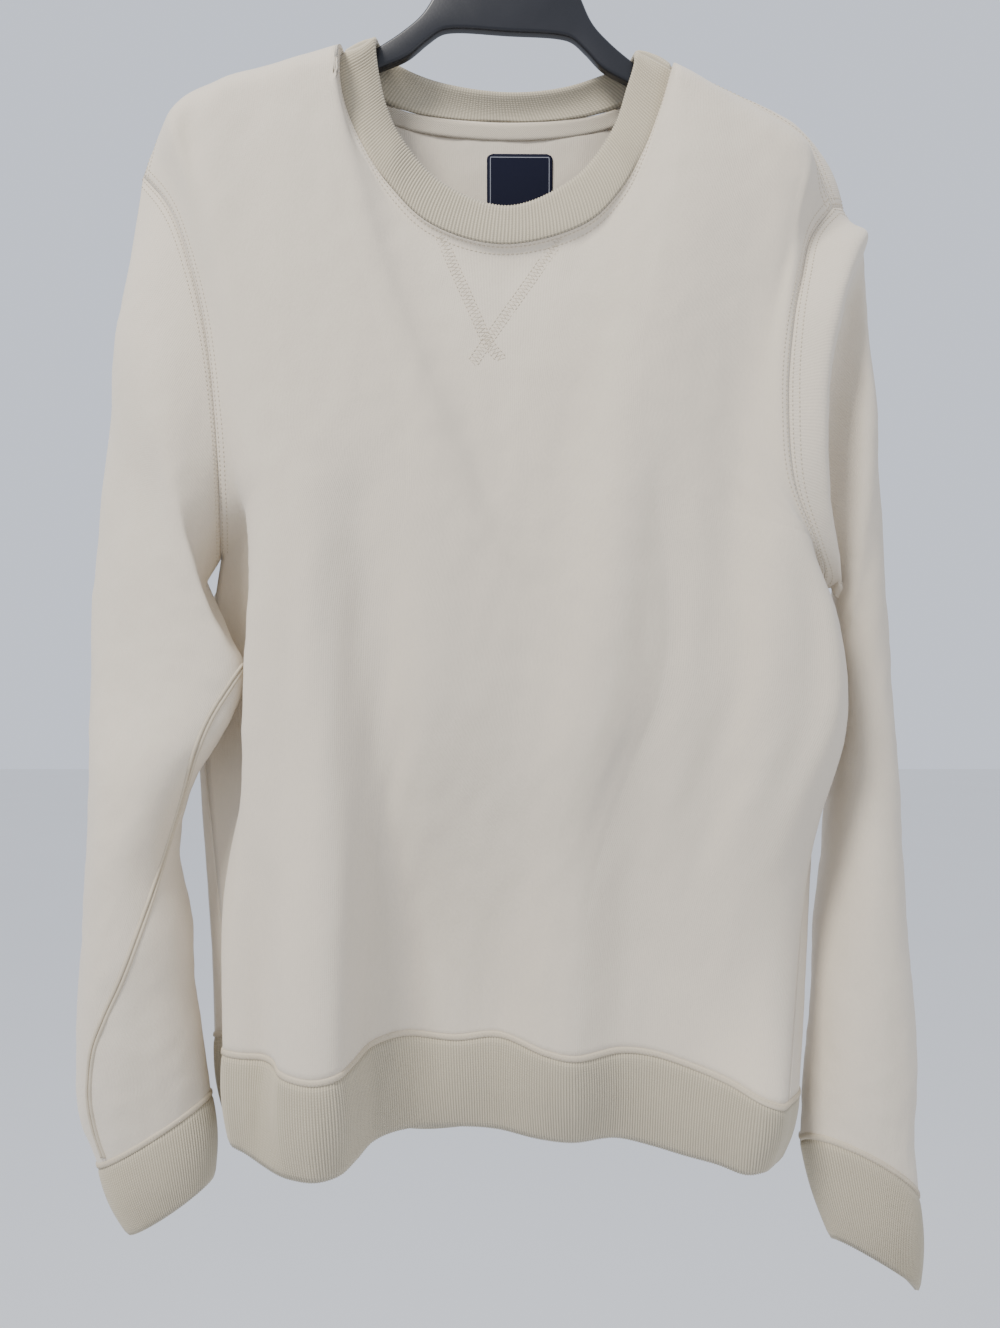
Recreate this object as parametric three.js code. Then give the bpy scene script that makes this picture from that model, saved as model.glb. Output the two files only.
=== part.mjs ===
/**
 * A crewneck sweatshirt hanging on a clothes hanger.
 *
 * Millimetres, +Z up, +X to the viewer's right, the front of the garment faces -Y.
 * The origin is the crest inside the hanger's hook, where a rail bears.
 * left and right are the viewer's, as in the photograph.
 */

import * as THREE from 'three';
import { mergeVertices } from 'three/addons/utils/BufferGeometryUtils.js';

const { lerp, smoothstep, degToRad } = THREE.MathUtils;

// Driving sizes
const FLEECE = 2.2;
const RIB_KNIT = 2.2;
const COLLAR_KNIT = 2.8;
const SEAM_GAP = 0.55;
const TIGHT_SEAM_GAP = 1.4;
const BAND_SEAM_GAP = 0.85;
const RIB_RELIEF = 0.55;
const TAPE_WIDTH = 11;
const TAPE_THICK = 0.8;
const LABEL_THICK = 0.7;
const LABEL_HEIGHT = 44;
const LABEL_LEFT = -14;
const LABEL_RIGHT = 31;
const LABEL_TOP = -184;
const TAPE_DROP = 1.5;
const LAY_GAP = 0.55;

// Grid counts: rows climb the garment, columns cross it
const SIDE_ROWS = 9;
const ARMHOLE_ROWS = 12;
const ROWS = SIDE_ROWS + ARMHOLE_ROWS;
const FRONT_ZONES = { left: 9, neck: 16, right: 9 };
const BACK_ZONES = { left: 9, neck: 10, right: 9 };
const FRONT_SHARES = [0.36, 0.68];
const BACK_SHARES = [0.3, 0.7];
const SLEEVE_ROWS = 20;
const BACK_BOW = -0.35;
const TAPE_COLUMNS = 20;
const ROW_CROWDING = 1.35;
const PINNED_COLUMNS = 5;
const NECK_CROWDING = 0.3;
const HEM_REACH = 0.4;
const NORMAL_SOFTENING = 2;
const CREASE_X = 84;
const CREASE_WIDTH = 40;
const CREASE_FOOT = -430;
const CREASE_RISE = 90;
const CREASE_TOP = -162;
const CREASE_EASING = 90;
const CREASE_STRENGTH = 0.8;
const CREASE_MARGIN = 3;

// Ribs in the solids, fewer and wider than the knitted ones
const HEM_RIB_PITCH = 4.6;
const CUFF_RIB_PITCH = 4.2;
const COLLAR_RIB_PITCH = 6;

const FABRIC = { color: 0xd8d0be, roughness: 0.95, metalness: 0 };
const RIB_FABRIC = { color: 0xcfc6b0, roughness: 0.95, metalness: 0 };
const TAPE_FABRIC = { color: 0xd4ccb8, roughness: 0.95, metalness: 0 };
const LABEL_FABRIC = { color: 0x1d2233, roughness: 0.8, metalness: 0 };
const HANGER_PLASTIC = { color: 0x14161c, roughness: 0.4, metalness: 0 };
const HOOK_STEEL = { color: 0xb4b6ba, roughness: 0.3, metalness: 1 };

// Seams that the front and the back share, from the foot up
const LEFT_SIDE_SEAM = [
  { x: -186, y: 4, z: -779 },
  { x: -189, y: 5, z: -720 },
  { x: -196, y: 9, z: -660 },
  { x: -203, y: 13, z: -600 },
  { x: -203, y: 14, z: -540 },
  { x: -198, y: 11, z: -500 },
  { x: -191, y: 6, z: -462 },
];
const RIGHT_SIDE_SEAM = [
  { x: 173, y: -44, z: -805 },
  { x: 182, y: -24, z: -767 },
  { x: 190, y: -10, z: -715 },
  { x: 199, y: 3, z: -645 },
  { x: 207, y: 8, z: -585 },
  { x: 207, y: 8, z: -530 },
  { x: 201, y: 2, z: -485 },
];
const LEFT_FRONT_ARMHOLE = [
  { x: -191, y: 6, z: -462 },
  { x: -186, y: -15, z: -437 },
  { x: -184, y: -28, z: -400 },
  { x: -187, y: -30, z: -354 },
  { x: -193, y: -28, z: -313 },
  { x: -203, y: -24, z: -275 },
  { x: -213, y: -19, z: -248 },
  { x: -223, y: -13, z: -231 },
  { x: -240, y: -2, z: -211 },
];
const LEFT_BACK_ARMHOLE = [
  { x: -191, y: 6, z: -462 },
  { x: -196, y: 24, z: -430 },
  { x: -204, y: 30, z: -375 },
  { x: -212, y: 29, z: -320 },
  { x: -222, y: 22, z: -268 },
  { x: -233, y: 11, z: -231 },
  { x: -240, y: -2, z: -211 },
];
const RIGHT_FRONT_ARMHOLE = [
  { x: 201, y: 2, z: -485 },
  { x: 203, y: -20, z: -475 },
  { x: 192, y: -39, z: -457 },
  { x: 176, y: -48, z: -421 },
  { x: 172, y: -48, z: -368 },
  { x: 176, y: -44, z: -325 },
  { x: 184, y: -34, z: -290 },
  { x: 194, y: -20, z: -259 },
  { x: 213, y: -6, z: -233 },
];
const RIGHT_BACK_ARMHOLE = [
  { x: 201, y: 2, z: -485 },
  { x: 203, y: 24, z: -450 },
  { x: 207, y: 32, z: -395 },
  { x: 213, y: 32, z: -335 },
  { x: 219, y: 26, z: -280 },
  { x: 226, y: 18, z: -246 },
  { x: 224, y: 6, z: -230 },
  { x: 213, y: -6, z: -233 },
];

// How the front turns in from each side seam to its outer fold, then to its face
const LEFT_TURN = [
  { z: -779, turnX: -178, turnY: -6, foldX: -180, foldY: -30, faceX: -168 },
  { z: -720, turnX: -177, turnY: -4, foldX: -177, foldY: -34, faceX: -164 },
  { z: -660, turnX: -171, turnY: 0, foldX: -172, foldY: -37, faceX: -158 },
  { z: -600, turnX: -165, turnY: 4, foldX: -167, foldY: -40, faceX: -153 },
  { z: -540, turnX: -160, turnY: 4, foldX: -162, foldY: -43, faceX: -148 },
  { z: -500, turnX: -161, turnY: 0, foldX: -161, foldY: -41, faceX: -147 },
  { z: -462, turnX: -168, turnY: -8, foldX: -164, foldY: -37, faceX: -150 },
  { z: -430, turnX: -174, turnY: -25, foldX: -168, foldY: -38, faceX: -154 },
  { z: -380, turnX: -178, turnY: -33, foldX: -171, foldY: -39, faceX: -157 },
  { z: -313, turnX: -187, turnY: -30, foldX: -180, foldY: -34, faceX: -166 },
  { z: -260, turnX: -201, turnY: -24, foldX: -193, foldY: -28, faceX: -178 },
  { z: -211, turnX: -232, turnY: -6, foldX: -222, foldY: -9, faceX: -205 },
];
const RIGHT_TURN = [
  { z: -805, turnX: 169, turnY: -50, foldX: 164, foldY: -53, faceX: 157 },
  { z: -767, turnX: 180, turnY: -32, foldX: 175, foldY: -41, faceX: 165 },
  { z: -715, turnX: 190, turnY: -20, foldX: 185, foldY: -34, faceX: 174 },
  { z: -645, turnX: 204, turnY: -8, foldX: 203, foldY: -27, faceX: 190 },
  { z: -585, turnX: 216, turnY: -4, foldX: 216, foldY: -24, faceX: 202 },
  { z: -530, turnX: 211, turnY: -8, foldX: 211, foldY: -26, faceX: 198 },
  { z: -485, turnX: 198, turnY: -14, foldX: 193, foldY: -32, faceX: 181 },
  { z: -475, turnX: 197, turnY: -26, foldX: 192, foldY: -36, faceX: 180 },
  { z: -457, turnX: 189, turnY: -42, foldX: 184, foldY: -45, faceX: 174 },
  { z: -421, turnX: 173, turnY: -49, foldX: 169, foldY: -49, faceX: 160 },
  { z: -368, turnX: 168, turnY: -49, foldX: 163, foldY: -49, faceX: 154 },
  { z: -290, turnX: 180, turnY: -37, foldX: 175, foldY: -39, faceX: 166 },
  { z: -233, turnX: 205, turnY: -7, foldX: 196, foldY: -10, faceX: 182 },
];

// How the back rounds each side below the armholes
const BACK_TURN = [
  { z: -805, leftX: -198, leftY: 16, rightX: 188, rightY: -14 },
  { z: -767, leftX: -197, leftY: 17, rightX: 195, rightY: -4 },
  { z: -715, leftX: -201, leftY: 18, rightX: 199, rightY: 4 },
  { z: -645, leftX: -209, leftY: 24, rightX: 206, rightY: 18 },
  { z: -585, leftX: -212, leftY: 28, rightX: 210, rightY: 22 },
  { z: -530, leftX: -209, leftY: 28, rightX: 210, rightY: 22 },
  { z: -480, leftX: -199, leftY: 24, rightX: 205, rightY: 18 },
];

// Depth of the hanging faces
const FACE_DEPTH = [
  { z: -805, front: -34, back: 34 },
  { z: -700, front: -41, back: 38 },
  { z: -600, front: -47, back: 41 },
  { z: -500, front: -50, back: 40 },
  { z: -400, front: -47, back: 36 },
  { z: -300, front: -40, back: 30 },
  { z: -240, front: -32, back: 24 },
  { z: -190, front: -22, back: 19 },
  { z: -150, front: -14, back: 15 },
  { z: -120, front: -11, back: 12 },
];

// Long soft folds of the front: push is toward the viewer where it is negative
const FRONT_FOLDS = [
  { topX: -112, topZ: -330, footX: -112, footZ: -760, topPush: -2, footPush: -17, topWide: 30, footWide: 24 },
  { topX: -118, topZ: -330, footX: -62, footZ: -740, topPush: 3, footPush: 16, topWide: 16, footWide: 24 },
  { topX: 85, topZ: -310, footX: 42, footZ: -720, topPush: -5, footPush: -6, topWide: 22, footWide: 30 },
  { topX: 15, topZ: -420, footX: -10, footZ: -760, topPush: 2, footPush: 14, topWide: 34, footWide: 34 },
  { topX: 136, topZ: -400, footX: 140, footZ: -700, topPush: 7, footPush: 6, topWide: 14, footWide: 16 },
  { topX: 100, topZ: -480, footX: 84, footZ: -770, topPush: 3, footPush: 12, topWide: 26, footWide: 22 },
  { topX: 172, topZ: -450, footX: 160, footZ: -640, topPush: -4, footPush: -3, topWide: 14, footWide: 14 },
  { topX: -152, topZ: -690, footX: -156, footZ: -775, topPush: 3, footPush: 9, topWide: 8, footWide: 10 },
  { topX: -168, topZ: -210, footX: -176, footZ: -420, topPush: 3, footPush: 3, topWide: 10, footWide: 10 },
];
const BACK_FOLDS = [
  { topX: -150, topZ: -260, footX: -130, footZ: -800, topPush: 3, footPush: 10, topWide: 22, footWide: 26 },
  { topX: -70, topZ: -330, footX: -60, footZ: -800, topPush: -1, footPush: -9, topWide: 26, footWide: 26 },
  { topX: 10, topZ: -300, footX: 5, footZ: -800, topPush: 2, footPush: 8, topWide: 30, footWide: 28 },
  { topX: 90, topZ: -330, footX: 75, footZ: -800, topPush: -2, footPush: -9, topWide: 26, footWide: 24 },
  { topX: 150, topZ: -260, footX: 138, footZ: -800, topPush: 3, footPush: 8, topWide: 20, footWide: 22 },
];

// The hem seam and the free end of its rib below it, across the front and the back
const FRONT_HEM = [
  { x: -180, y: -30, z: -778, endX: -174, endY: -32, endZ: -835 },
  { x: -167, y: -37, z: -778, endX: -164, endY: -38, endZ: -837 },
  { x: -153, y: -39, z: -778, endX: -151, endY: -47, endZ: -840 },
  { x: -144, y: -48, z: -778, endX: -140, endY: -56, endZ: -841 },
  { x: -136, y: -62, z: -780, endX: -131, endY: -62, endZ: -841 },
  { x: -116, y: -69, z: -782, endX: -115, endY: -66, endZ: -841 },
  { x: -102, y: -65, z: -780, endX: -102, endY: -58, endZ: -841 },
  { x: -95, y: -48, z: -778, endX: -94, endY: -43, endZ: -839 },
  { x: -86, y: -24, z: -775, endX: -85, endY: -26, endZ: -835 },
  { x: -67, y: -12, z: -773, endX: -67, endY: -12, endZ: -834 },
  { x: -34, y: -14, z: -775, endX: -34, endY: -8, endZ: -834 },
  { x: -6, y: -14, z: -773, endX: -8, endY: -9, endZ: -835 },
  { x: 24, y: -28, z: -780, endX: 20, endY: -15, endZ: -839 },
  { x: 42, y: -32, z: -782, endX: 42, endY: -16, endZ: -841 },
  { x: 72, y: -22, z: -780, endX: 70, endY: -11, endZ: -840 },
  { x: 92, y: -22, z: -782, endX: 92, endY: -15, endZ: -843 },
  { x: 114, y: -28, z: -787, endX: 112, endY: -22, endZ: -846 },
  { x: 137, y: -40, z: -793, endX: 132, endY: -30, endZ: -848 },
  { x: 155, y: -52, z: -800, endX: 148, endY: -39, endZ: -850 },
  { x: 167, y: -51, z: -804, endX: 159, endY: -38, endZ: -849 },
];
const BACK_HEM = [
  { x: -198, y: 16, z: -784, endX: -190, endY: 14, endZ: -838 },
  { x: -184, y: 32, z: -787, endX: -176, endY: 28, endZ: -841 },
  { x: -130, y: 44, z: -792, endX: -126, endY: 37, endZ: -846 },
  { x: -60, y: 25, z: -795, endX: -60, endY: 22, endZ: -849 },
  { x: 5, y: 42, z: -797, endX: 4, endY: 34, endZ: -850 },
  { x: 75, y: 25, z: -799, endX: 74, endY: 20, endZ: -852 },
  { x: 138, y: 40, z: -802, endX: 132, endY: 34, endZ: -854 },
  { x: 176, y: 24, z: -806, endX: 168, endY: 20, endZ: -855 },
  { x: 188, y: -14, z: -808, endX: 178, endY: -8, endZ: -853 },
];
const HEM_SIDE_ENDS = {
  left: { x: -180, y: 4, z: -836 },
  right: { x: 168, y: -26, z: -851 },
};

// The shoulder seams from each armhole to the neck, and the neck seam between them
const LEFT_SHOULDER = [
  { x: -240, y: -2, z: -211 },
  { x: -235, y: 0, z: -196 },
  { x: -228, y: 2, z: -182 },
  { x: -207, y: 3, z: -159 },
  { x: -189, y: 3, z: -150.5 },
  { x: -151, y: 2, z: -140.5 },
  { x: -108, y: 0, z: -128 },
];
const RIGHT_SHOULDER = [
  { x: 213, y: -6, z: -233 },
  { x: 206, y: -9, z: -220 },
  { x: 199, y: -10, z: -205 },
  { x: 191, y: -10, z: -192 },
  { x: 180, y: -10, z: -184 },
  { x: 142, y: -10, z: -162 },
  { x: 107, y: -9, z: -143 },
];
const RIGHT_CREST = [
  { x: 224, y: 6, z: -230 },
  { x: 219, y: 2, z: -214 },
  { x: 211, y: 1, z: -199 },
  { x: 199, y: 1, z: -185 },
  { x: 184, y: 1, z: -174 },
  { x: 144, y: 1, z: -154 },
  { x: 107, y: 0, z: -138 },
];
const FRONT_NECK = [
  { x: -108, y: 0, z: -128 },
  { x: -109, y: -9, z: -137 },
  { x: -108, y: -13, z: -156 },
  { x: -103, y: -18, z: -177 },
  { x: -92, y: -24, z: -202 },
  { x: -77, y: -29, z: -227 },
  { x: -49, y: -34, z: -256 },
  { x: -3, y: -36, z: -270 },
  { x: 49, y: -34, z: -256 },
  { x: 71, y: -31, z: -234 },
  { x: 85, y: -26, z: -208 },
  { x: 98, y: -18, z: -174 },
  { x: 107, y: -9, z: -143 },
];
const BACK_NECK = [
  { x: -108, y: 0, z: -128 },
  { x: -107, y: 7, z: -130 },
  { x: -102, y: 12, z: -137 },
  { x: -87, y: 17, z: -149 },
  { x: -60, y: 21, z: -158 },
  { x: 0, y: 24, z: -163 },
  { x: 60, y: 21, z: -158 },
  { x: 89, y: 16, z: -148 },
  { x: 102, y: 8, z: -140 },
  { x: 106, y: -1, z: -138 },
  { x: 107, y: -9, z: -143 },
];
const FRONT_COLLAR_EDGE = [
  { x: -86, y: -1, z: -120 },
  { x: -86, y: -12, z: -126 },
  { x: -85, y: -12, z: -138 },
  { x: -83, y: -13, z: -151 },
  { x: -78, y: -16, z: -172 },
  { x: -68, y: -22, z: -195 },
  { x: -42, y: -29, z: -227 },
  { x: 0, y: -33, z: -244 },
  { x: 42, y: -29, z: -224 },
  { x: 67, y: -21, z: -189 },
  { x: 77, y: -15, z: -159 },
  { x: 81, y: -13, z: -146 },
  { x: 83, y: -11, z: -136 },
  { x: 84, y: -3, z: -129 },
];
const BACK_COLLAR_EDGE = [
  { x: -86, y: -1, z: -120 },
  { x: -84, y: 8, z: -120 },
  { x: -79, y: 12, z: -125 },
  { x: -70, y: 14, z: -130 },
  { x: -45, y: 15, z: -139 },
  { x: 0, y: 16, z: -145 },
  { x: 39, y: 15, z: -142 },
  { x: 67, y: 13, z: -134 },
  { x: 79, y: 11, z: -130 },
  { x: 84, y: -3, z: -129 },
];
const COLLAR_CROWN = 2.6;
const SHOULDER_ROLL = 26;

// Sleeve rings: the middle, half of the ring's long way toward the underarm, half depths,
// the bow of the front toward the body, and how far the underarm seam has turned to the front
const LEFT_SLEEVE = [
  { x: -226, y: -4, z: -392, inX: 28, inY: -4, inZ: -93, front: 34, back: 34, bow: 14, rise: 0, turn: 0 },
  { x: -222, y: -6, z: -450, inX: 46, inY: -18, inZ: -68, front: 28, back: 26, bow: 8, rise: 0, turn: 0 },
  { x: -221, y: -8, z: -500, inX: 55, inY: -21, inZ: -34, front: 23, back: 19, bow: 0, rise: 0, turn: 0 },
  { x: -226, y: -9, z: -550, inX: 53, inY: -19, inZ: -14, front: 23, back: 17, bow: 0, rise: 0, turn: 4 },
  { x: -238, y: -11, z: -604, inX: 36, inY: -10, inZ: -5, front: 31, back: 28, bow: 0, rise: 0, turn: 18 },
  { x: -243, y: -12, z: -655, inX: 29, inY: -2, inZ: 1, front: 35, back: 37, bow: 0, rise: 0, turn: 50 },
  { x: -240, y: -13, z: -705, inX: 34, inY: 0, inZ: 4, front: 34, back: 38, bow: 0, rise: 0, turn: 88 },
  { x: -240, y: -12, z: -755, inX: 37, inY: 0, inZ: 9, front: 32, back: 34, bow: 0, rise: 0, turn: 118 },
  { x: -238, y: -11, z: -800, inX: 40, inY: 0, inZ: 15, front: 28, back: 29, bow: 0, rise: 0, turn: 134 },
  { x: -230, y: -8, z: -836, inX: 36, inY: 0, inZ: 22, front: 23, back: 24, bow: 0, rise: 0, turn: 140 },
];
const RIGHT_SLEEVE = [
  { x: 227, y: 2, z: -364, inX: -10, inY: -4, inZ: -119, front: 51, back: 33, bow: -32, rise: 0, turn: 0 },
  { x: 227, y: 2, z: -375, inX: -10, inY: -3, inZ: -116, front: 12, back: 36, bow: -21, rise: 0, turn: 0 },
  { x: 230, y: 4, z: -405, inX: -9, inY: -4, inZ: -104, front: 27, back: 38, bow: -4, rise: 0, turn: 0 },
  { x: 234, y: 9, z: -470, inX: -13, inY: -2, inZ: -60, front: 28, back: 40, bow: 0, rise: 0, turn: 0 },
  { x: 238, y: 14, z: -531, inX: -16, inY: -2, inZ: -24, front: 29, back: 41, bow: 0, rise: 0, turn: 0 },
  { x: 241, y: 18, z: -584, inX: -19, inY: 0, inZ: -8, front: 33, back: 41, bow: 0, rise: 0, turn: -5 },
  { x: 240, y: 18, z: -650, inX: -24, inY: 0, inZ: -2, front: 36, back: 40, bow: 0, rise: 0, turn: -10 },
  { x: 238, y: 14, z: -720, inX: -30, inY: 0, inZ: 0, front: 36, back: 38, bow: 0, rise: 0, turn: -15 },
  { x: 236, y: 7, z: -785, inX: -34, inY: 0, inZ: 4, front: 32, back: 34, bow: 0, rise: 2, turn: -20 },
  { x: 232, y: 2, z: -832, inX: -37, inY: 0, inZ: 12, front: 28, back: 28, bow: 0, rise: 10, turn: -20 },
  { x: 231, y: -3, z: -865, inX: -38, inY: 0, inZ: 20, front: 24, back: 24, bow: 0, rise: 18, turn: -20 },
];
const LEFT_CUFF_END = {
  x: -219, y: -9, z: -884, inX: 27, inY: 0, inZ: 17, front: 19, back: 20, bow: 0, rise: 0, turn: 140,
};
const RIGHT_CUFF_END = {
  x: 240, y: -6, z: -925, inX: -28, inY: 0, inZ: 17, front: 19, back: 20, bow: 0, rise: 10, turn: -20,
};
const BAND_SWELL = 2.5;

// The hanger: a moulded bar with a wire hook
const HANGER_LEAN = degToRad(3.4);
const HANGER_MIDDLE_Z = -107;
const HANGER_HALF = 4;
const HANGER_BEVEL = 1.4;
const HANGER_OUTLINE = [
  { x: 0, z: -62 },
  { x: 22, z: -63 },
  { x: 38, z: -72 },
  { x: 46, z: -88 },
  { x: 56, z: -107 },
  { x: 68, z: -119 },
  { x: 84, z: -131 },
  { x: 97, z: -139 },
  { x: 130, z: -152 },
  { x: 182, z: -174 },
  { x: 190, z: -181 },
  { x: 189, z: -188 },
  { x: 182, z: -190 },
  { x: 130, z: -168 },
  { x: 82, z: -145 },
  { x: 64, z: -136 },
  { x: 52, z: -125 },
  { x: 43, z: -118 },
  { x: 34, z: -116 },
  { x: 0, z: -116 },
];
const HOOK_WIRE = 1.9;
const HOOK_INSIDE = 20;
const HOOK_SIDES = 5;
const HOOK_STEPS = 24;
const HOOK_SEAT = 0.3;

/** Returns a smooth curve through a table's x, y and z columns. */
function curveThrough(rows) {
  const points = rows.map((row) => new THREE.Vector3(row.x, row.y, row.z));
  return new THREE.CatmullRomCurve3(points, false, 'centripetal');
}

/** Reads a named column of a table at a place along its key column, smoothly. */
function readTable(rows, key, column, place) {
  const ordered = rows[0][key] < rows[rows.length - 1][key] ? rows : [...rows].reverse();
  const last = ordered.length - 1;
  if (place <= ordered[0][key]) return ordered[0][column];
  if (place >= ordered[last][key]) return ordered[last][column];
  const after = ordered.findIndex((row) => row[key] > place);
  const [a, b] = [ordered[after - 1], ordered[after]];
  const before = ordered[Math.max(after - 2, 0)];
  const beyond = ordered[Math.min(after + 1, last)];
  const step = b[key] - a[key];
  const share = (place - a[key]) / step;
  const slopeA = ((b[column] - before[column]) / (b[key] - before[key])) * step;
  const slopeB = ((beyond[column] - a[column]) / (beyond[key] - a[key])) * step;
  const [s2, s3] = [share ** 2, share ** 3];
  return (2 * s3 - 3 * s2 + 1) * a[column] + (s3 - 2 * s2 + share) * slopeA
    + (3 * s2 - 2 * s3) * b[column] + (s3 - s2) * slopeB;
}

/** Depth that the long folds add at a place on a face. */
function foldDepth(folds, x, z) {
  let depth = 0;
  for (const fold of folds) {
    const along = (fold.topZ - z) / (fold.topZ - fold.footZ);
    const share = THREE.MathUtils.clamp(along, 0, 1);
    const fade = smoothstep(along, -0.35, 0.05);
    const middle = lerp(fold.topX, fold.footX, share);
    const wide = lerp(fold.topWide, fold.footWide, share);
    depth += fade * lerp(fold.topPush, fold.footPush, share) * Math.exp(-(((x - middle) / wide) ** 2));
  }
  return depth;
}

/** Points at equal steps along a polyline. */
function evenly(points, count) {
  const reach = [0];
  for (let i = 1; i < points.length; i += 1) {
    reach.push(reach[i - 1] + points[i].distanceTo(points[i - 1]));
  }
  const total = reach[reach.length - 1];
  const result = [];
  let at = 1;
  for (let i = 0; i <= count; i += 1) {
    const target = (total * i) / count;
    while (at < points.length - 1 && reach[at] < target) at += 1;
    const share = (target - reach[at - 1]) / (reach[at] - reach[at - 1]);
    result.push(points[at - 1].clone().lerp(points[at], share));
  }
  return result;
}

/** Points along a neck zone, closer together at its corners, where the cloth rolls over. */
function crowded(points, count) {
  const even = evenly(points, 600);
  const result = [];
  for (let i = 0; i <= count; i += 1) {
    const share = lerp(i / count, (1 - Math.cos((Math.PI * i) / count)) / 2, NECK_CROWDING);
    const place = share * 600;
    const low = Math.min(Math.floor(place), 599);
    result.push(even[low].clone().lerp(even[low + 1], place - low));
  }
  return result;
}

/** The row's place along the side seam, then along the armhole. */
function sidePoint(seam, armhole, row) {
  if (row <= SIDE_ROWS) return seam.getPointAt(row / SIDE_ROWS);
  const climb = (row - SIDE_ROWS) / ARMHOLE_ROWS;
  return armhole.getPointAt(1 - (1 - climb) ** ROW_CROWDING);
}

const seams = {
  leftSide: curveThrough(LEFT_SIDE_SEAM),
  rightSide: curveThrough(RIGHT_SIDE_SEAM),
  leftFront: curveThrough(LEFT_FRONT_ARMHOLE),
  leftBack: curveThrough(LEFT_BACK_ARMHOLE),
  rightFront: curveThrough(RIGHT_FRONT_ARMHOLE),
  rightBack: curveThrough(RIGHT_BACK_ARMHOLE),
};

/** How far up its columns a row lies, from 0 at the hem to 1 at the shoulder. */
function rowClimb(row) {
  const left = sidePoint(seams.leftSide, seams.leftFront, row).z;
  const right = sidePoint(seams.rightSide, seams.rightFront, row).z;
  const foot = LEFT_SIDE_SEAM[0].z + RIGHT_SIDE_SEAM[0].z;
  const top = LEFT_SHOULDER[0].z + RIGHT_SHOULDER[0].z;
  return (left + right - foot) / (top - foot);
}

/** The top edge of a panel: one shoulder, the neck, the other shoulder. */
function topEdge(neck, zones) {
  const left = evenly(curveThrough(LEFT_SHOULDER).getPoints(60), zones.left);
  const middle = crowded(curveThrough(neck).getPoints(200), zones.neck);
  const right = evenly(curveThrough([...RIGHT_SHOULDER].reverse()).getPoints(60), zones.right);
  return [...left, ...middle.slice(1), ...right.slice(1)];
}

/** The hem edge of the front, from the left side seam to the right one. */
function frontHemLine() {
  const rows = [LEFT_SIDE_SEAM[0], { x: -179, y: -8, z: -779 }, ...FRONT_HEM, RIGHT_SIDE_SEAM[0]];
  return curveThrough(rows).getPoints(400);
}

/** The hem edge of the back, from the left side seam to the right one. */
function backHemLine() {
  return curveThrough([LEFT_SIDE_SEAM[0], ...BACK_HEM, RIGHT_SIDE_SEAM[0]]).getPoints(400);
}

/** One level row of the front in plan, before the hem, neck and shoulders shape it. */
function frontPlan(row) {
  const left = sidePoint(seams.leftSide, seams.leftFront, row);
  const right = sidePoint(seams.rightSide, seams.rightFront, row);
  const turnLeft = (column) => readTable(LEFT_TURN, 'z', column, left.z);
  const turnRight = (column) => readTable(RIGHT_TURN, 'z', column, right.z);
  const level = (left.z + right.z) / 2;
  const faceAt = (x) => readTable(FACE_DEPTH, 'z', 'front', level) + foldDepth(FRONT_FOLDS, x, level);
  const [from, to] = [turnLeft('faceX'), turnRight('faceX')];
  const points = [
    new THREE.Vector3(left.x, left.y, 0),
    new THREE.Vector3(turnLeft('turnX'), turnLeft('turnY'), 0),
    new THREE.Vector3(turnLeft('foldX'), turnLeft('foldY'), 0),
  ];
  const steps = 24;
  for (let i = 0; i <= steps; i += 1) {
    const x = lerp(from, to, i / steps);
    points.push(new THREE.Vector3(x, faceAt(x), 0));
  }
  points.push(new THREE.Vector3(turnRight('foldX'), turnRight('foldY'), 0));
  points.push(new THREE.Vector3(turnRight('turnX'), turnRight('turnY'), 0));
  points.push(new THREE.Vector3(right.x, right.y, 0));
  return new THREE.CatmullRomCurve3(points, false, 'centripetal').getPoints(480);
}

/** One level row of the back in plan. */
function backPlan(row) {
  const left = sidePoint(seams.leftSide, seams.leftBack, row);
  const right = sidePoint(seams.rightSide, seams.rightBack, row);
  const level = (left.z + right.z) / 2;
  const low = smoothstep(-level, 470, 520);
  const read = (column) => readTable(BACK_TURN, 'z', column, level);
  const faceAt = (x) => readTable(FACE_DEPTH, 'z', 'back', level) + foldDepth(BACK_FOLDS, x, level);
  const cornerLeft = new THREE.Vector3(read('leftX'), read('leftY'), 0);
  const cornerRight = new THREE.Vector3(read('rightX'), read('rightY'), 0);
  const inLeft = new THREE.Vector3(left.x + 10, lerp(left.y, faceAt(left.x + 24), 0.62), 0);
  const inRight = new THREE.Vector3(right.x - 10, lerp(right.y, faceAt(right.x - 24), 0.62), 0);
  const points = [new THREE.Vector3(left.x, left.y, 0), inLeft.lerp(cornerLeft, low)];
  const steps = 20;
  for (let i = 0; i <= steps; i += 1) {
    const x = lerp(left.x + lerp(26, 12, low), right.x - lerp(26, 14, low), i / steps);
    points.push(new THREE.Vector3(x, faceAt(x), 0));
  }
  points.push(inRight.lerp(cornerRight, low));
  points.push(new THREE.Vector3(right.x, right.y, 0));
  return new THREE.CatmullRomCurve3(points, false, 'centripetal').getPoints(480);
}

/** Splits a row into the panel's zones at the shares of its length that the neck corners take. */
function resampleRow(points, zones, shares) {
  const even = evenly(points, 600);
  const cut = shares.map((share) => Math.round(share * 600));
  const left = evenly(even.slice(0, cut[0] + 1), zones.left);
  const middle = crowded(even.slice(cut[0], cut[1] + 1), zones.neck);
  const right = evenly(even.slice(cut[1]), zones.right);
  return [...left, ...middle.slice(1), ...right.slice(1)];
}

/** The crest that each column of the back climbs over, or null where its top edge is highest. */
function backCrest(zones) {
  const right = evenly(curveThrough([...RIGHT_CREST].reverse()).getPoints(60), zones.right);
  return [...Array(zones.left + zones.neck + 1).fill(null), ...right.slice(1)];
}

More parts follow.
